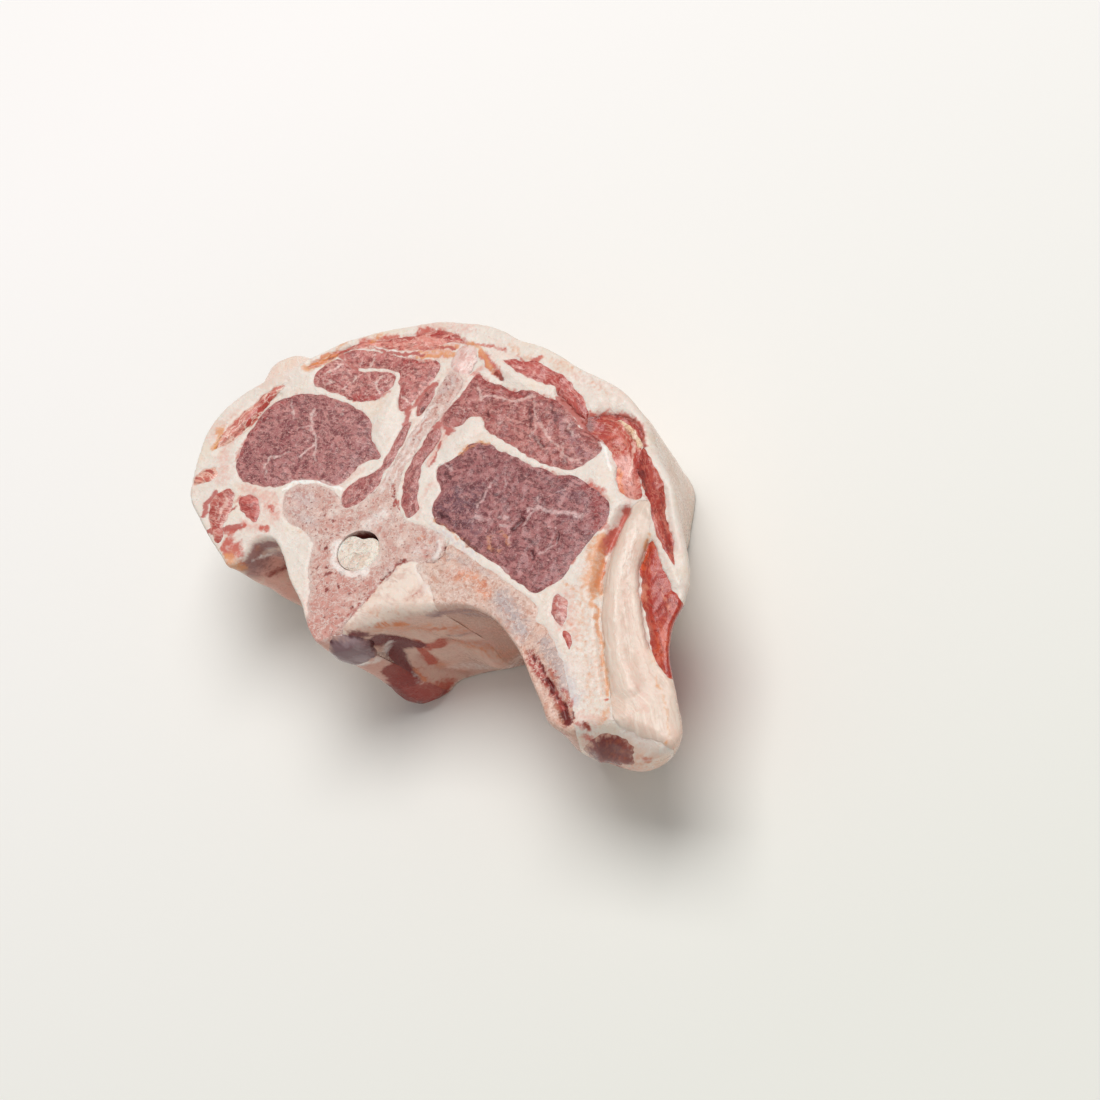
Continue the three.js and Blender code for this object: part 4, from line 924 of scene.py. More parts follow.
wallStainsAndShading = {
    # half width, strength, path in section millimetres and depth
    "pale": [
        (0.8, 0.8, (-30.9, -12.5, 3), (-30, -9.5, 6), (-29.5, -7.6, 7)),
        (1.8, 0.6, (18, -14.6, 1), (28, -9.4, 2)),
        (1.2, 0.8, (38, -4.6, 1.2), (47, -5.4, 1.2), (56, -9.6, 1.2)),
        (3, 0.6, (14, -17.6, 33), (19, -14, 37), (26, -10.6, 36), (33, -6.4, 33)),
        # a painted highlight along the glossy ridge under the disc
        (1, 1, (5.4, -27, 13.5), (7, -25.2, 15), (9.1, -22.4, 15.4), (10.9, -20.2, 14)),
        (1, 0.6, (8.8, -23, 25), (8, -24, 30)), (0.8, 0.5, (102, -22.4, 16), (107, -22.6, 12)),
    ],
    "rosy": [
        (2.4, 0.7, (22, -12.4, 20), (30, -8, 24)), (3, 0.8, (-32.2, -15.7, 19), (-33.4, -16.6, 26)),
        (3.4, 0.8, (-30, -9, 10), (-30.6, -12, 16)),
        (3, 0.7, (88, -24.6, 6), (95, -22.5, 14), (104, -22.5, 14)),
        (3, 0.7, (12, -19, 24), (12, -19, 32), (14, -17.5, 38)), (2.4, 0.6, (38, -4.6, 24), (45, -4.9, 26)),
        (4, 0.5, (27, -9.8, 14), (36, -5.2, 20), (46, -5, 22)), (2, 0.8, (0, -25.6, 2), (3, -27.4, 5)),
        (3, 0.9, (-32, -15.5, 15), (-32.2, -15.7, 24), (-31, -13, 20)),
        (6, 0.5, (90, -23, 8), (100, -22.4, 10), (108, -22.4, 14)),
        (5, 0.8, (-31, -13.5, 12), (-32, -15.5, 26)),
    ],
    "ruddy": [
        (1.5, 1.3, (14.4, -17.1, 20), (13.4, -18, 23), (12.4, -18.9, 27)),
        (1, 0.8, (16, -16.2, 16), (15.4, -16.6, 22)), (1.3, 0.8, (14.2, -17.4, 1.6), (16, -16.3, 4)),
        (1.2, 0.8, (18.4, -14.6, 5.4)), (1, 0.6, (22, -12.8, 11), (25.4, -10.8, 12)),
        (1.2, 0.9, (88, -24.6, 4), (86, -25.6, 3)), (1.4, 0.8, (106.6, -22.6, 6)),
        (2.4, 0.8, (92, -23, 12.6), (99, -22.4, 13.4)), (1.4, 0.8, (82, -26.9, 3), (79, -26.8, 4)),
        (4, 0.9, (7.4, -24.8, 26), (6.4, -25.8, 33), (8.6, -23.2, 38)),
        (1.6, 1.3, (16.5, -15.7, 20), (18.5, -14.6, 21), (20.6, -13.6, 18.6)),
        (1.8, 0.7, (-33.4, -16.6, 2), (-31.4, -14.8, 2)),
    ],
    # dark red on the walls: blood and marrow, and painted shade in the hollows of the arch and the left bay
    "bloodAndShade": [
        (2.6, 1.9, (11.2, -19.8, 10), (12.2, -18.9, 13), (12.4, -18.7, 16)),
        (1.2, 0.9, (9.6, -21.6, 2), (10.6, -20.4, 5)), (1.8, 1.8, (12.4, -18.7, 15), (14.8, -16.9, 18)),
        (1.9, 1.9, (9.7, -21.4, 17), (8.4, -23, 22), (7.4, -24.8, 27)),
        (1.5, 1.5, (10.4, -20.6, 16), (8.8, -23, 21)), (2, 1.5, (7.4, -24.8, 21), (6.4, -25.9, 25)),
        (1.8, 0.9, (3.6, -27.7, 31), (3.4, -27.7, 39), (7.4, -24.8, 39)),
        (1.3, 0.8, (5.4, -27, 27), (3.8, -27.7, 30)),
        (1.5, 0.8, (-30.8, -13, 12), (-30.3, -10, 13.5), (-29.8, -8, 15)),
        (1, 0.9, (98.2, -22.3, 14.5), (103, -22.4, 13)), (0.9, 0.9, (6.6, -25.6, 1)),
        (0.8, 0.8, (8.6, -23.2, 0.8), (9.8, -21.4, 3.4)),
    ],
    "warm": [
        (1.9, 1.1, (14, -17.4, 1), (15.6, -16.4, 4)), (1.5, 1, (17.6, -15, 5), (19.4, -13.9, 6)),
        (0.9, 0.7, (21.4, -12.9, 8.6), (24, -11.6, 8)), (1.2, 0.8, (9, -22.6, 25), (8.4, -23.4, 30)),
        (4, 0.45, (14, -17.6, 4), (22, -12.6, 11), (30, -8, 14)),
        (4, 0.45, (23, -12, 22), (27.8, -9.2, 25), (32, -6.8, 30)),
        (3, 0.5, (13, -18.4, 30), (15, -16.7, 35)), (2.4, 0.9, (-34, -16.9, 1), (-32, -16, 3)),
        (1.6, 0.4, (-29.8, -9, 2)), (1.4, 0.6, (92, -23, 12), (98, -22.4, 14)),
        (7, 0.35, (96, -22.4, 6), (108, -22.4, 8)),
    ],
    "cool": [
        (2.6, 0.5, (36, -5.2, 6), (47, -5.4, 8), (55, -9, 10)),
        (1.6, 0.6, (-29.4, -7.3, 5), (-29.6, -7.8, 8)), (2, 0.7, (4.6, -27.4, 9), (5.4, -27, 14)),
        (1.2, 0.6, (6.4, -26, 27), (7.4, -24.6, 29)),
    ],
    "meaty": [
        (2.4, 0.9, (95, 14, 4), (95.6, 6, 6), (99, 0, 8)),
    ],
    # painted shade: in the arch under the rib, in the left bay and at the foot of the backbone
    "paintedShade": [
        (1.7, 0.7, (27, -9.6, 3.4), (34, -6, 3.6), (42, -4.7, 3.4), (50, -6.4, 3)),
        (2.2, 0.6, (34, -6, 6.5), (44, -4.8, 7)),
        (2.4, 1.3, (-32, -14.4, 4), (-30.4, -9.5, 2), (-29.4, -8, 2.6), (-27.6, -6, 3)),
        (4.6, 1.4, (-31, -12.6, 8), (-30.4, -10.5, 10), (-29.6, -8, 11)),
        (2.8, 1.4, (5, -27.2, 29), (5, -27.4, 36)), (1.6, 0.9, (2.6, -27.6, 38), (8.4, -23.4, 39)),
        (1, 0.6, (24, -11.6, 16), (29, -8.6, 17)),
    ],
}


# the small steps that a painted path takes sideways and upwards: soft noise as above
shakes = [[(0.6, 2.1, 41), (0.35, 0.7, 43)], [(0.6, 2.1, 42), (0.35, 0.7, 44)]]


def shake(places):
    # soft noise along the face and across it, so that no painted path runs smooth
    return np.stack([waves(places[:, :2], rows) for rows in shakes], axis=1)


# how much of its tissue's red, green and blue a piece gives back
casts = {
    "loin_eye_left": (1.15, 1.07, 1.07), "loin_eye_right": (0.97, 0.83, 0.86),
    "blade_lower_left": (1.13, 1.05, 1.04), "blade_upper_left": (1.14, 1, 0.98),
    "blade_right": (0.97, 0.8, 0.79), "spine_strip_left": (1, 0.9, 0.9),
    "spine_strip_right": (0.96, 0.8, 0.8), "spine_strip_upper": (0.97, 0.76, 0.74),
    "back_strip_left": (1.05, 0.94, 0.9), "back_strip_right": (0.94, 0.64, 0.64),
    "side_strip_left": (1.18, 1.4, 1.33), "side_strip_right": (0.79, 0.35, 0.27),
    "seam_fat": (1.08, 0.92, 0.96), "flank_inner_right": (1.02, 0.94, 0.9),
    "flank_lower_right": (0.83, 0.37, 0.25), "flank_outer_left": (1.16, 1.25, 1.15),
    "flank_main_left": (0.96, 0.85, 0.82), "flank_small_left": (0.89, 0.57, 0.57),
    "rib_meat_upper": (0.95, 1, 1.05), "rib_meat_lower": (0.84, 0.5, 0.47), "spine_tip": (0.96, 0.92, 0.92),
    "fascia_fold": (0.97, 0.93, 0.9), "rib_right": (0.99, 0.88, 0.85), "rib_neck": (0.97, 0.91, 0.91),
    "vertebra": (1, 0.98, 0.98),
}


def boundaryOf(corners, count):
    # the directed edges that only one triangle has
    edges = corners[:, [[0, 1], [1, 2], [2, 0]]].reshape(-1, 2)
    key = edges.min(axis=1) * count + edges.max(axis=1)
    _, first, times = np.unique(key, return_index=True, return_counts=True)
    return edges[first[times == 1]]


def meshFor(members):
    # the members' triangles at the top and the bottom, joined by walls: fine ones outside, coarse inside
    used, corners = np.unique(faces[members], return_inverse=True)
    corners = corners.reshape(-1, 3)
    count = len(used)
    edges = boundaryOf(corners, count)
    isOuter = onWall[used][edges].all(axis=1)
    column = np.full((count, len(levels)), -1)
    column[:, 0], column[:, -1] = np.arange(count), np.arange(count, 2 * count)
    fine = np.zeros(count, bool)
    fine[np.unique(edges[isOuter])] = True
    wanted = np.zeros(column.shape, bool)
    wanted[np.ix_(np.unique(edges), coarse)] = True
    wanted[fine] = True
    wanted[:, [0, -1]] = False
    column[wanted] = 2 * count + np.arange(wanted.sum())
    home, level = np.nonzero(wanted)
    home = np.concatenate([np.arange(count), np.arange(count), home])
    part = np.concatenate([np.zeros(count), np.ones(count), levels[level]])
    polygons = [*corners.tolist(), *(corners[:, ::-1] + count).tolist()]
    for rows, steps in ((isOuter, np.arange(len(levels))), (~isOuter & ~fine[edges].any(axis=1), coarse)):
        one, two = column[edges[rows, 0]][:, steps], column[edges[rows, 1]][:, steps]
        quads = np.stack([one[:, :-1], one[:, 1:], two[:, 1:], two[:, :-1]], axis=2)
        polygons += quads.reshape(-1, 4).tolist()
    for one, two in edges[~isOuter & fine[edges].any(axis=1)]:
        for high, low in zip(coarse, coarse[1:]):
            down = column[one, high:low + 1]
            up = column[two, high:low + 1][::-1]
            polygons.append([*down[down >= 0].tolist(), *up[up >= 0].tolist()])
    return used[home], part, polygons, fine[home], used[np.unique(edges[~isOuter])]


def alongCentre(points, leaf):
    # distance along the line half way between belly and back, and across it
    halfWay = (np.array(leaf["belly"]) + np.array(leaf["back"])) / 2
    line = np.array([leaf["from"], *halfWay, leaf["to"]])
    run = np.diff(line, axis=0)
    length = np.linalg.norm(run, axis=1)
    away = points[:, None, :] - line[:-1]
    part = np.clip((away * run).sum(axis=2) / length ** 2, 0, 1)
    gap = np.linalg.norm(away - part[..., None] * run, axis=2)
    best = gap.argmin(axis=1)
    rows = np.arange(len(points))
    side = run[best, 0] * away[rows, best, 1] - run[best, 1] * away[rows, best, 0]
    along = (np.cumsum(length) - length)[best] + part[rows, best] * length[best]
    return np.column_stack([along, side / length[best]])


def nearestGap(points, marks):
    # the distance from each point to the nearest mark
    def nearest(block):
        return np.linalg.norm(block[:, None, :] - marks, axis=2).min(axis=1)

    return inBlocks(nearest, points, 1000)


def addAttribute(mesh, name, values):
    # one value or one vector for each vertex
    kind = "FLOAT_VECTOR" if values.ndim == 2 else "FLOAT"
    layer = mesh.attributes.new(name, kind, "POINT")
    layer.data.foreach_set("vector" if values.ndim == 2 else "value",
                           values.astype(np.float32).ravel())


skinOf = {
    "below": (0.5, 2.4),  # mm from a cut face where the wall's membrane begins and where it is full
    "atRim": 0.5,  # how much of it shows on the very rim of a cut face
    "rimWidth": 1.2,  # mm that it reaches in from there
    "onFall": (1.5, 4.5),  # mm that a round rim has fallen where it covers the face as well
}
stainAndShadingOf = {
    "canalMargin": 0.2,  # mm round the canal that takes its painted shade with it
    "canalShade": (1.1, 2.4),  # mm down the canal where the painted shade on its wall begins and where it is full
    "fromEdge": 2.5,  # mm that a full mark, stain and painted shade alike, counts as further from the edge, which hides the edge's line
    "hideEdge": ("ruddy", "warm", "bloodAndShade"),
}


def finishPiece(name, mesh, look, places, section, skin, edge):
    # gives a mesh its attributes, its shading and its material: places are section points and depths
    addAttribute(mesh, "grain", np.column_stack([section, places[:, 2]]))
    addAttribute(mesh, "skin", skin)
    inCanal = np.linalg.norm(places[:, :2], axis=1) < canal["radius"] + stainAndShadingOf["canalMargin"]
    steps = shake(places)
    for kind, marks in wallStainsAndShading.items():
        onFace = strokes(places[:, :2] + steps, faceStainsAndShading[kind])
        onSkin = strokes(places + np.column_stack([steps, np.zeros(len(places))]), marks)
        stainAndShading = onFace * (1 - skin) + onSkin * skin
        # inside the canal the wall darkens with depth: painted shade
        if kind == "bloodAndShade":
            stainAndShading = np.maximum(stainAndShading, inCanal * ease(places[:, 2], *stainAndShadingOf["canalShade"]))
        addAttribute(mesh, kind, stainAndShading)
        if kind in stainAndShadingOf["hideEdge"]:
            edge = edge + stainAndShadingOf["fromEdge"] * stainAndShading
    addAttribute(mesh, "edge", edge)
    addAttribute(mesh, "cast", np.tile(casts.get(name, (1.0, 1.0, 1.0)), (len(places), 1)))
    mesh.polygons.foreach_set("use_smooth", np.ones(len(mesh.polygons), bool))
    mesh.set_sharp_from_angle(angle=np.radians(chop["sharpFrom"]))
    mesh.materials.append(look)
    piece = bpy.data.objects.new("chop_" + name, mesh)
    scene.collection.objects.link(piece)
    return piece


def buildPiece(name, look, leaf=None):
    # a tissue's share of the section, carried down from the relief of one face to the other face
    home, part, polygons, isFine, seam = meshFor(np.flatnonzero(tissue == name))
    depth = topDepth[home] + (bottomDepth - topDepth)[home] * part
    mesh = bpy.data.meshes.new(name)
    mesh.from_pydata(laid(spots[home], depth, outward[home], rimGap[home]).tolist(), [], polygons)
    within = np.minimum(depth, thickness - depth)
    skin = np.where(isFine, ease(within, *skinOf["below"]), 0)
    skin = np.maximum(skin, skinOf["atRim"] * (1 - ease(rimGap[home], 0, skinOf["rimWidth"])))
    skin = np.maximum(skin, (part == 0) * ease(topFall[home], *skinOf["onFall"]))
    section = alongCentre(spots[home], leaf) if leaf and leaf.get("fibres") else spots[home]
    edge = nearestGap(spots[home], spots[seam])
    return finishPiece(name, mesh, look, np.column_stack([spots[home], depth]), section, skin, edge)


# knots of tissue that lie in the wall: where they are, how long and deep, how far they stand out
wallKnots = {
    "disc": {"look": "discGristle", "middle": (7.6, -24.5), "depth": 6.9, "halfLength": 5.0,
             "halfDepth": 6.8, "bulge": 1.9, "ragged": 0.12},
    "flank_meat": {"look": "endMeat", "middle": (95.4, -22.7), "depth": 7.4, "halfLength": 10.0,
                   "halfDepth": 6.0, "bulge": 0.8, "ragged": 0.24},
}
pillow = {  # what the knots share
    "rimWaves": [(1, 0.7, 51), (0.5, 0.25, 52)],  # share, size in half lengths, seed
    "waves": [(0.25, 2.4, 53)],  # height and size in mm, seed
    "sunk": 0.2,  # mm that its rim lies behind the wall
    "backSunk": 0.6,  # mm that the rim of its hidden back does
    "backBulge": 1.5,
}


def buildKnot(name, look, knot, turns=120, rounds=24):
    # a pillow on the wall: rings of points shrink from an uneven rim to the middle, the front raised
    # by one less the fourth power of the radius, the back sunk behind the wall
    radius = np.linspace(1, 0, rounds, endpoint=False)
    turn = np.linspace(0, 2 * np.pi, turns, endpoint=False)
    circle = np.stack([np.cos(turn), np.sin(turn)], axis=1)
    rim = 1 + knot["ragged"] * waves(circle, pillow["rimWaves"])
    r, t = (grid.ravel() for grid in np.meshgrid(radius, np.arange(turns), indexing="ij"))
    run = np.linalg.norm(np.roll(envelope, -1, 0) - envelope, axis=1)
    start = np.linalg.norm(envelope - knot["middle"], axis=1).argmin()
    far = np.cumsum(run) - run
    along = np.append(far[start] + knot["halfLength"] * r * rim[t] * circle[t, 0], far[start])
    depth = np.append(knot["depth"] + knot["halfDepth"] * r * rim[t] * circle[t, 1], knot["depth"])
    here = np.stack([np.interp(along, far, envelope[:, axis]) for axis in (0, 1)], axis=1)
    places = np.column_stack([here, depth])
    out = outwardFrom(here)
    r = np.append(r, 0)
    swell = knot["bulge"] * (1 - r ** 4) + waves(places, pillow["waves"]) - pillow["sunk"]
    inset = rimFall(rimRadiusAt(here), depth)
    front = here + out * (swell - inset)[:, None]
    back = here - out * (inset + pillow["backSunk"] + pillow["backBulge"] * (1 - r ** 2))[:, None]
    none = np.zeros(len(here))
    points = np.concatenate([laid(front, depth, out, none), laid(back, depth, out, none)])
    count, middle = len(here), len(here) - 1
    ringOf = np.arange(rounds * turns).reshape(rounds, turns)
    after = np.roll(ringOf, -1, 1)
    quads = np.stack([ringOf[:-1], ringOf[1:], after[1:], after[:-1]], axis=2).reshape(-1, 4)
    caps = np.stack([ringOf[-1], np.full(turns, middle), after[-1]], axis=1)
    sides = np.stack([ringOf[0], after[0], after[0] + count, ringOf[0] + count], axis=1)
    polygons = [*quads.tolist(), *caps.tolist(), *(quads[:, ::-1] + count).tolist(),
                *(caps[:, ::-1] + count).tolist(), *sides.tolist()]
    mesh = bpy.data.meshes.new(name)
    mesh.from_pydata(points.tolist(), [], polygons)
    return finishPiece(name, mesh, look, np.tile(places, (2, 1)), np.tile(here, (2, 1)),
                       np.ones(2 * count), np.tile((1 - r) * knot["halfDepth"], 2))


# how every tissue takes the painted stains, shade and highlights: where one fades in, its cover, its
# height in mm, and whether it lies on top of the tissue's own streaks
tints = {
    # the first tint is painted shade, for hollows, bays and crevices
    "paintedShade": {"low": 0.1, "high": 0.9, "strength": 0.85, "onTop": False},
    "cool": {"low": 0.1, "high": 0.9, "strength": 0.8, "onTop": False},
    "rosy": {"low": 0.1, "high": 0.9, "strength": 0.85, "onTop": False},
    "meaty": {"low": 0.15, "high": 0.7, "strength": 0.9, "onTop": True},
    "ruddy": {"low": 0.15, "high": 0.8, "strength": 0.88, "onTop": False},
    "warm": {"low": 0.15, "high": 0.9, "strength": 0.85, "onTop": False},
    # the dark red tint: blood and marrow, and painted shade in grooves, clefts and the canal
    "bloodAndShade": {"low": 0.2, "high": 0.85, "strength": 0.88, "height": -0.2, "onTop": True},
    "pale": {"low": 0.2, "high": 0.9, "strength": 0.75, "height": 0.08, "onTop": True},
}

# each tissue's look. A layer is its source, its size in mm, where it fades in and where it is full, its
# colour and cover, and for some its height in mm and its stretch. The sources edge and skin have no size:
# there the number says how far noise shakes the border
# a skin layer gives the membrane down the walls its tan, partly its own colour and partly painted shade
# that darkens the walls against the cut faces
looks = {
    # fresh lamb loin cut across its fibres: brown-mauve and damp, with crinkled dark and pale streaks
    "loinMeat": {
        "slot": "loin_meat", "base": "#9A5E5D", "stir": (6, 2.4), "roughness": (0.28, 0.5),
        "sheen": 0.4, "glow": 0.12, "grit": 0.14,
        "layers": [
            ("noise", 11, 0.42, 0.6, "#AA716F", 0.7), ("noise", 4.5, 0.48, 0.64, "#7B3A3E", 0.85),
            ("noise", 2, 0.5, 0.62, "#C08782", 0.65, 0.14, (1.7, 1, 3)),
            ("noise", 1.1, 0.5, 0.62, "#6A2E32", 0.75, -0.24, (1.5, 1, 3)),
            ("lines", 1.9, 0.04, 0, "#CB9B95", 0.6, 0.08),
            # the first layer here, a fine pale speckle, is painted glints on the wet meat
            ("noise", 0.55, 0.53, 0.66, "#DCB2AA", 0.55, 0.14), ("edge", 1, 1.4, 0, "#96433C", 0.35),
            ("edge", 4, 0.6, 0, "#D2A59D", 0.45),
        ],
        "tints": {"cool": "#6A4853", "warm": "#C4865A", "ruddy": "#983A37", "bloodAndShade": "#57252A",
                  "pale": "#E6CDC6", "rosy": "#C58A86"},
    },
    # blade-end muscle: the same meat in coarser bundles, with seams of connective tissue
    "bladeMeat": {
        "slot": "blade_meat", "base": "#AC6662", "stir": (6, 2.4), "roughness": (0.26, 0.48),
        "sheen": 0.4, "glow": 0.12, "grit": 0.14,
        "layers": [
            ("noise", 10, 0.42, 0.6, "#BF807A", 0.7), ("noise", 4.2, 0.48, 0.64, "#8C3B39", 0.85),
            ("noise", 1.9, 0.5, 0.62, "#D39B93", 0.65, 0.14, (1.8, 1, 3)),
            ("lines", 3.6, 0.04, 0, "#E2BBB2", 0.6, 0.12),
            ("noise", 1.1, 0.5, 0.63, "#7C3433", 0.65, -0.24, (1.5, 1, 3)),
            # the first layer here, a fine pale speckle, is painted glints on the wet meat
            ("noise", 0.55, 0.53, 0.66, "#E2B9AF", 0.5, 0.12), ("edge", 1, 1.2, 0, "#AA463E", 0.35),
            ("edge", 4, 0.6, 0, "#D9AFA6", 0.45),
        ],
        "tints": {"cool": "#8E6A74", "warm": "#CB8458", "ruddy": "#A33B36", "bloodAndShade": "#64292B",
                  "pale": "#E9D3CA", "rosy": "#D9A49C"},
    },
    # outer muscle that has bloomed bright red, its fibres running with the strip, wet and shiny
    "stripMeat": {
        "slot": "strip_meat", "base": "#B8594F", "stir": (4, 1.8), "roughness": (0.22, 0.4),
        "sheen": 0.5, "glow": 0.12, "grit": 0.08,
        "layers": [
            ("noise", 7, 0.42, 0.6, "#CC7E72", 0.7), ("noise", 4, 0.48, 0.64, "#9C352E", 0.7),
            ("noise", 1, 0.5, 0.63, "#DFA194", 0.6, 0.12, (4.5, 1, 3)),
            ("lines", 2.4, 0.04, 0, "#EAC3B7", 0.6, 0.08, (2.5, 1, 3)),
            ("noise", 0.8, 0.53, 0.66, "#8C2C26", 0.55, -0.16, (3.5, 1, 3)),
            ("edge", 3.5, 0.55, 0, "#E6C3B6", 0.5),
        ],
        "tints": {"cool": "#9C6A6E", "warm": "#DC8A48", "ruddy": "#A42C24", "bloodAndShade": "#6E1612",
                  "pale": "#F0D6CA", "rosy": "#E09A8E"},
    },
    # flank muscle in a hollow: bright orange-red, with a wet membrane over it
    "flankMeat": {
        "slot": "flank_meat", "base": "#BB4D3D", "stir": (4, 2), "roughness": (0.2, 0.38),
        "sheen": 0.55, "glow": 0.12, "grit": 0.08,
        "layers": [
            ("noise", 8, 0.44, 0.62, "#CC6C5B", 0.55), ("noise", 4, 0.48, 0.64, "#9E2C20", 0.7),
            ("noise", 1.1, 0.52, 0.66, "#DE9582", 0.5, 0.12, (4, 1, 3)),
            ("lines", 3.2, 0.035, 0, "#E9B6A5", 0.5, 0.1, (2.5, 1, 3)),
            ("noise", 0.8, 0.54, 0.67, "#851F16", 0.5, -0.16, (3, 1, 3)),
            ("edge", 3, 0.6, 0, "#E0A592", 0.6),
        ],
        "tints": {"cool": "#C08A8E", "warm": "#E38A54", "ruddy": "#A8352B", "bloodAndShade": "#6E1610",
                  "pale": "#EFD0C3", "rosy": "#E0A49A"},
    },
    # meat at the flank's end, dried dark
    "endMeat": {
        "slot": "loin_meat", "base": "#702E2C", "stir": (3, 2), "roughness": (0.2, 0.36),
        "sheen": 0.5, "glow": 0.1, "grit": 0.1,
        "layers": [
            ("noise", 3.2, 0.45, 0.62, "#9C564F", 0.5),
            ("noise", 1.3, 0.5, 0.64, "#5E2422", 0.7, -0.3, (2, 1, 1)),
            ("edge", 5, 2.4, 0.2, "#CFA08C", 0.9),
        ],
        "tints": {"bloodAndShade": "#4E1616", "warm": "#B8643C", "ruddy": "#9A3A32"},
    },
    # firm lamb fat: cream and waxy, whiter beside the meat, pink in patches and yellow where it dried
    "fat": {
        "slot": "fat", "base": "#E2D6CB", "stir": (5, 3), "roughness": (0.36, 0.56),
        "sheen": 0.2, "glow": 0.2, "grit": 0.06,
        "layers": [
            ("skin", 1, 0.2, 0.9, "#E6C5B0", 0.75), ("noise", 12, 0.46, 0.68, "#E3C6B8", 0.5),
            ("noise", 17, 0.48, 0.68, "#E4CEB2", 0.5), ("lines", 6, 0.05, 0, "#EDE4DB", 0.4, 0.12),
            ("noise", 2.2, 0.5, 0.68, "#EEE5DC", 0.35, 0.14),
            ("noise", 1.3, 0.55, 0.72, "#D8B9AA", 0.35, -0.12),
            ("noise", 0.6, 0.59, 0.72, "#D0A893", 0.25, -0.06), ("edge", 2, 1.7, 0.5, "#EBDDD3", 0.35),
            ("edge", 2, 0.35, 0, "#DDAFA2", 0.4),
        ],
        "tints": {"cool": "#CDC4C6", "warm": "#DC9664", "ruddy": "#C04A38", "bloodAndShade": "#8A3020",
                  "meaty": "#B4544B", "pale": "#FAF6F1", "rosy": "#DDA294", "paintedShade": "#8C5456"},
    },
    # fat and membrane in the arch between backbone and rib: cream on the cut, tan and glossy down the
    # wall, stained with blood and marrow, and darkened in its hollows with painted shade
    "archFat": {
        "slot": "fat", "base": "#E9D7C9", "stir": (6, 4), "roughness": (0.34, 0.52),
        "sheen": 0.15, "glow": 0.15, "grit": 0.06,
        "layers": [
            ("noise", 9, 0.46, 0.66, "#E2C2AF", 0.5), ("skin", 1, 0.2, 0.9, "#D8A896", 0.8),
            ("noise", 3.4, 0.46, 0.66, "#E3C7B4", 0.4),
            ("noise", 2.4, 0.5, 0.66, "#B88070", 0.35, -0.1, (2.4, 1, 1.5)),
            ("noise", 0.9, 0.52, 0.68, "#F0E2D8", 0.3, 0.08),
        ],
        "tints": {"cool": "#ADA0A6", "warm": "#D9804A", "ruddy": "#B5452C", "bloodAndShade": "#660E1E",
                  "pale": "#EEE2DC", "rosy": "#BE8576", "paintedShade": "#6C444E"},
    },
    # the sheet of fascia and fat folded up on the flank: smooth, with faint fine fibres along it
    "foldFat": {
        "slot": "fat", "base": "#E0CDBF", "stir": (6, 2.5), "roughness": (0.3, 0.48),
        "sheen": 0.3, "glow": 0.2, "grit": 0.05,
        "layers": [
            ("noise", 1.4, 0.44, 0.64, "#F0E4D8", 0.55, 0.1, (14, 1, 8)),
            ("noise", 0.9, 0.56, 0.72, "#D4B09B", 0.5, -0.08, (12, 1, 8)),
            ("noise", 9, 0.48, 0.64, "#E8CBBB", 0.6), ("skin", 1, 0.2, 0.9, "#DFB49E", 0.7),
        ],
        "tints": {"cool": "#CBC3C4", "warm": "#DC9C60", "ruddy": "#C05A40", "bloodAndShade": "#7A2A22",
                  "pale": "#FAF5EE", "rosy": "#E4BFB0", "paintedShade": "#94696B"},
    },
    # a seam of softer, yellower fat
    "seamFat": {
        "slot": "seam_fat", "base": "#E6CFA8", "stir": (3, 1.5), "roughness": (0.3, 0.5),
        "sheen": 0.3, "glow": 0.2, "grit": 0.12,
        "layers": [
            ("noise", 2.2, 0.45, 0.62, "#F2E4CA", 0.8, 0.3),
            ("noise", 0.9, 0.52, 0.66, "#BE8E5C", 0.6, -0.2), ("edge", 3, 0.9, 0, "#A9503C", 0.8),
        ],
        "tints": {},
    },
    # sawn spongy bone: pink-beige, with blood-red pores between pale struts; tan under its membrane
    "spongyBone": {
        "slot": "bone", "base": "#D6B4A7", "stir": (4, 2), "roughness": (0.38, 0.6),
        "sheen": 0.2, "glow": 0.1, "grit": 0.14,
        "layers": [
            ("noise", 8, 0.42, 0.6, "#CB9C90", 0.75), ("noise", 5, 0.5, 0.64, "#E8D5CA", 0.8),
            ("noise", 1.7, 0.48, 0.62, "#BA766A", 0.6, -0.14),
            ("lines", 2.2, 0.05, 0, "#EAD7CD", 0.65, 0.1), ("noise", 0.7, 0.53, 0.66, "#EBD9CF", 0.5, 0.1),
            ("dots", 1.5, 0.24, 0.1, "#94423A", 0.6, -0.2), ("edge", 3, 1.6, 0.2, "#E6D5CB", 0.4),
            ("skin", 1, 0.2, 0.9, "#D3A08F", 0.8),
        ],
        "tints": {"cool": "#C8BCBB", "warm": "#D88A5E", "ruddy": "#9C3024", "bloodAndShade": "#86241A",
                  "pale": "#F6EFE8", "rosy": "#CB8F83", "paintedShade": "#5C2E34"},
    },
    # rib sawn lengthwise: hard beige shell, bluish cartilage, orange-pink marrow
    "ribBone": {
        "slot": "rib_bone", "base": "#D6B9A9", "stir": (3, 1.5), "roughness": (0.3, 0.52),
        "sheen": 0.25, "glow": 0.1, "grit": 0.12,
        "layers": [
            ("noise", 7, 0.45, 0.62, "#E6CAB8", 0.7),
            ("noise", 1.9, 0.5, 0.63, "#C68A70", 0.55, -0.12, (1.6, 1, 3)),
            ("lines", 2.6, 0.05, 0, "#EFDFD3", 0.6, 0.08),
            ("noise", 0.8, 0.54, 0.68, "#B5705A", 0.5, -0.12),
            ("noise", 0.6, 0.54, 0.67, "#F1DCCF", 0.5, 0.1), ("skin", 1, 0.2, 0.9, "#CBA08D", 0.85),
        ],
        "tints": {"cool": "#B0A9AA", "warm": "#E09672", "ruddy": "#A62E2C", "bloodAndShade": "#640C10",
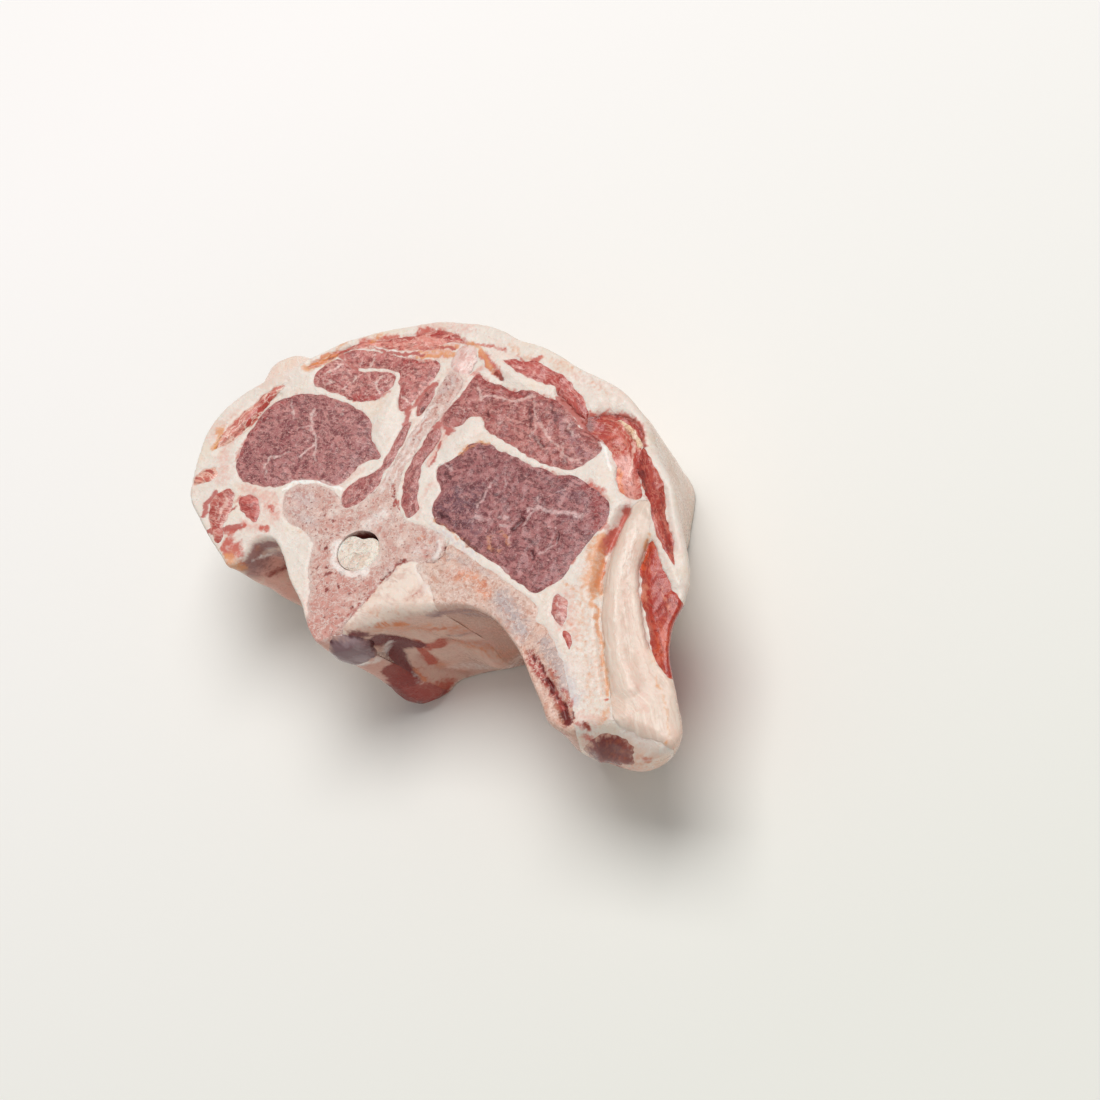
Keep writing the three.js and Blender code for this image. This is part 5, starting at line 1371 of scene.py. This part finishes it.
                  "pale": "#F2E9DE", "rosy": "#DBA595", "paintedShade": "#8E6B6E"},
    },
    # the gristly tip of the spine: smooth, milky, faintly pink
    "gristle": {
        "slot": "gristle", "base": "#E6C8BF", "stir": (3, 1.5), "roughness": (0.24, 0.4),
        "sheen": 0.35, "glow": 0.25, "grit": 0.05,
        "layers": [
            ("noise", 1.4, 0.48, 0.62, "#EFDDD5", 0.7, 0.08, (1, 5, 3)),
            ("noise", 4, 0.5, 0.66, "#D8A498", 0.7), ("noise", 0.7, 0.55, 0.68, "#C89588", 0.4, -0.08),
        ],
        "tints": {"warm": "#DDA070", "ruddy": "#B8564A", "rosy": "#DFAAA0"},
    },
    # the edge of a disc between two vertebrae: wet fibrous gristle, purple-grey; its pale tint is a painted
    # highlight
    "discGristle": {
        "slot": "disc", "base": "#826468", "stir": (3, 2), "roughness": (0.2, 0.34),
        "sheen": 0.6, "glow": 0.12, "grit": 0.06,
        "layers": [
            ("noise", 3.4, 0.45, 0.62, "#A08A8D", 0.7),
            ("noise", 1.2, 0.52, 0.66, "#5E4148", 0.55, -0.14, (1, 1, 2)),
            ("edge", 3, 1.8, 0, "#C09A8C", 0.75),
        ],
        "tints": {"bloodAndShade": "#4E1D22", "ruddy": "#8A3C36", "pale": "#D9CCC4"},
    },
    # spinal cord in its sheath: soft, white, faintly yellow, and darker down the canal with painted shade
    "cordTissue": {
        "slot": "cord", "base": "#E8DACB", "stir": (2, 1.2), "roughness": (0.3, 0.5),
        "sheen": 0.2, "glow": 0.25, "grit": 0.1,
        "layers": [
            ("noise", 2.5, 0.5, 0.66, "#DFC4B0", 0.7, -0.3), ("lines", 3, 0.06, 0, "#F4EADF", 0.6, 0.2),
            ("noise", 0.9, 0.54, 0.68, "#D2AE9A", 0.4, -0.2),
        ],
        "tints": {"warm": "#D9B493", "rosy": "#E0BDB0", "bloodAndShade": "#8A5A44", "pale": "#FBF7F0"},
    },
}

paint = {  # what every tissue's material shares
    "fineSize": 3,  # mm: smaller streaks hardly show through the wall's membrane
    "fineHidden": 0.9,  # the share of them that it hides
    "shakeScale": 0.9,  # to the mm, of the noise that shakes the borders and the gloss
    "gritScale": 2.2,  # to the mm
    "skinWetness": 0.14,  # how much smoother the membrane is than a cut face
    "glowDepth": 1.5 * mm,  # how far light spreads in the tissue, red furthest
    "glowColour": (1.0, 0.45, 0.35),
}


def layerOf(source, size, low, high, colour, strength, height=0.0, stretch=(1, 1, 3)):
    # one layer of a look with its values named; edge and skin have a shake where others have a size
    return {"from": source, "shake" if source in ("edge", "skin") else "size": size, "low": low,
            "high": high, "colour": colour, "strength": strength, "height": height, "stretch": stretch}


def tissueMaterial(name, look):
    # layers over a base colour: each has a source, the span where it fades in, a colour and a height;
    # the fine ones are weaker where a membrane covers the tissue
    material = bpy.data.materials.new(name)
    material.use_nodes = True
    tree = material.node_tree
    tree.nodes.clear()

    def add(kind, settings=None, links=None, output=0):
        return addNode(tree, kind, settings, links).outputs[output]

    def read(attribute):
        return add("ShaderNodeAttribute", {"attribute_name": attribute}, output="Fac")

    grain = add("ShaderNodeAttribute", {"attribute_name": "grain"}, output="Vector")
    bare = add("ShaderNodeMath", {"operation": "MULTIPLY_ADD", 1: -paint["fineHidden"], 2: 1.0},
               {0: read("skin")})
    stirSize, stirBy = look["stir"]
    stirring = add("ShaderNodeTexNoise", {"Scale": 1 / stirSize, "Detail": 2.0}, {"Vector": grain},
                   "Color")
    stirred = add("ShaderNodeVectorMath", {"operation": "MULTIPLY_ADD", 1: (stirBy,) * 3},
                  {0: stirring, 2: grain})
    shaking = add("ShaderNodeTexNoise", {"Scale": paint["shakeScale"], "Detail": 4.0},
                  {"Vector": grain}, "Fac")
    shaken = add("ShaderNodeMath", {"operation": "SUBTRACT", 1: 0.5}, {0: shaking})
    grit = add("ShaderNodeTexNoise", {"Scale": paint["gritScale"], "Detail": 3.0},
               {"Vector": grain}, "Fac")
    height = add("ShaderNodeMath", {"operation": "MULTIPLY", 1: look["grit"]}, {0: grit})
    noise = "ShaderNodeTexNoise", {"Scale": 1.0, "Detail": 4.0, "Roughness": 0.6}, "Fac"
    textures = {
        "noise": noise,
        "lines": noise,
        "dots": ("ShaderNodeTexVoronoi", {"Scale": 1.0}, "Distance"),
    }
    stainAndShadingLayers = [{"from": kind, **how, "colour": look["tints"][kind]}
               for kind, how in tints.items() if kind in look["tints"]]
    fine = paint["fineSize"]
    drawn = [layerOf(*line) for line in look["layers"]]
    layers = [layer for layer in drawn if layer["from"] == "skin" or layer.get("size", 0) > fine]
    layers += [layer for layer in stainAndShadingLayers if not layer["onTop"]]
    layers += [layer for layer in drawn if layer not in layers]
    layers += [layer for layer in stainAndShadingLayers if layer["onTop"]]
    colour = None
    for layer in layers:
        if layer["from"] in textures:
            kind, settings, output = textures[layer["from"]]
            scale = tuple(1 / (layer["size"] * side) for side in layer["stretch"])
            place = add("ShaderNodeVectorMath", {"operation": "MULTIPLY", 1: scale}, {0: stirred})
            source = add(kind, settings, {"Vector": place}, output)
            if layer["from"] == "lines":
                offMiddle = add("ShaderNodeMath", {"operation": "SUBTRACT", 1: 0.5}, {0: source})
                source = add("ShaderNodeMath", {"operation": "ABSOLUTE"}, {0: offMiddle})
        else:
            source = add("ShaderNodeMath", {"operation": "MULTIPLY_ADD", 1: layer.get("shake", 1.0)},
                         {0: shaken, 2: read(layer["from"])})
        amount = add("ShaderNodeMapRange",
                     {"interpolation_type": "SMOOTHSTEP", "From Min": layer["low"],
                      "From Max": layer["high"], "To Max": layer["strength"]}, {"Value": source})
        if layer.get("size", fine) < fine:
            amount = add("ShaderNodeMath", {"operation": "MULTIPLY"}, {0: amount, 1: bare})
        blend = {"data_type": "RGBA", 7: linear(layer["colour"])}
        links = {0: amount}
        if colour is None:
            blend[6] = linear(look["base"])
        else:
            links[6] = colour
        colour = add("ShaderNodeMix", blend, links, 2)
        if layer.get("height"):
            height = add("ShaderNodeMath", {"operation": "MULTIPLY_ADD", 1: layer["height"]},
                         {0: amount, 2: height})
    cast = add("ShaderNodeAttribute", {"attribute_name": "cast"}, output="Vector")
    colour = add("ShaderNodeVectorMath", {"operation": "MULTIPLY"}, {0: colour, 1: cast})
    bump = add("ShaderNodeBump", {"Strength": 1.0, "Distance": mm}, {"Height": height})
    gloss = add("ShaderNodeMapRange",
                {"From Min": 0.35, "From Max": 0.65, "To Min": look["roughness"][0],
                 "To Max": look["roughness"][1]}, {"Value": shaking})
    wetter = add("ShaderNodeMath", {"operation": "MULTIPLY_ADD", 1: -paint["skinWetness"]},
                 {0: read("skin"), 2: gloss})
    shader = add("ShaderNodeBsdfPrincipled",
                 {"IOR": 1.4, "Subsurface Weight": look["glow"], "Subsurface Radius": paint["glowColour"],
                  "Subsurface Scale": paint["glowDepth"], "Coat Weight": look["sheen"],
                  "Coat Roughness": 0.2},
                 {"Base Color": colour, "Roughness": wetter, "Normal": bump})
    addNode(tree, "ShaderNodeOutputMaterial", {}, {"Surface": shader})
    return material


materials = {name: tissueMaterial(name, look) for name, look in looks.items()}
print("materials mixed")

plan = {"fat": ("fat", None), "arch_fat": ("archFat", None), "spinal_cord": ("cordTissue", None)}
plan.update({name: (leaf["look"], leaf) for name, leaf in leaves.items() if "partOf" not in leaf})
plan.update({name: (knot["look"], knot) for name, knot in wallKnots.items()})
for name, (look, shape) in plan.items():
    build = buildKnot if name in wallKnots else buildPiece
    piece = build(name, materials[look], shape)
    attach(piece, "root")
    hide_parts(name)
    print(name, "built with", len(piece.data.polygons), "faces")
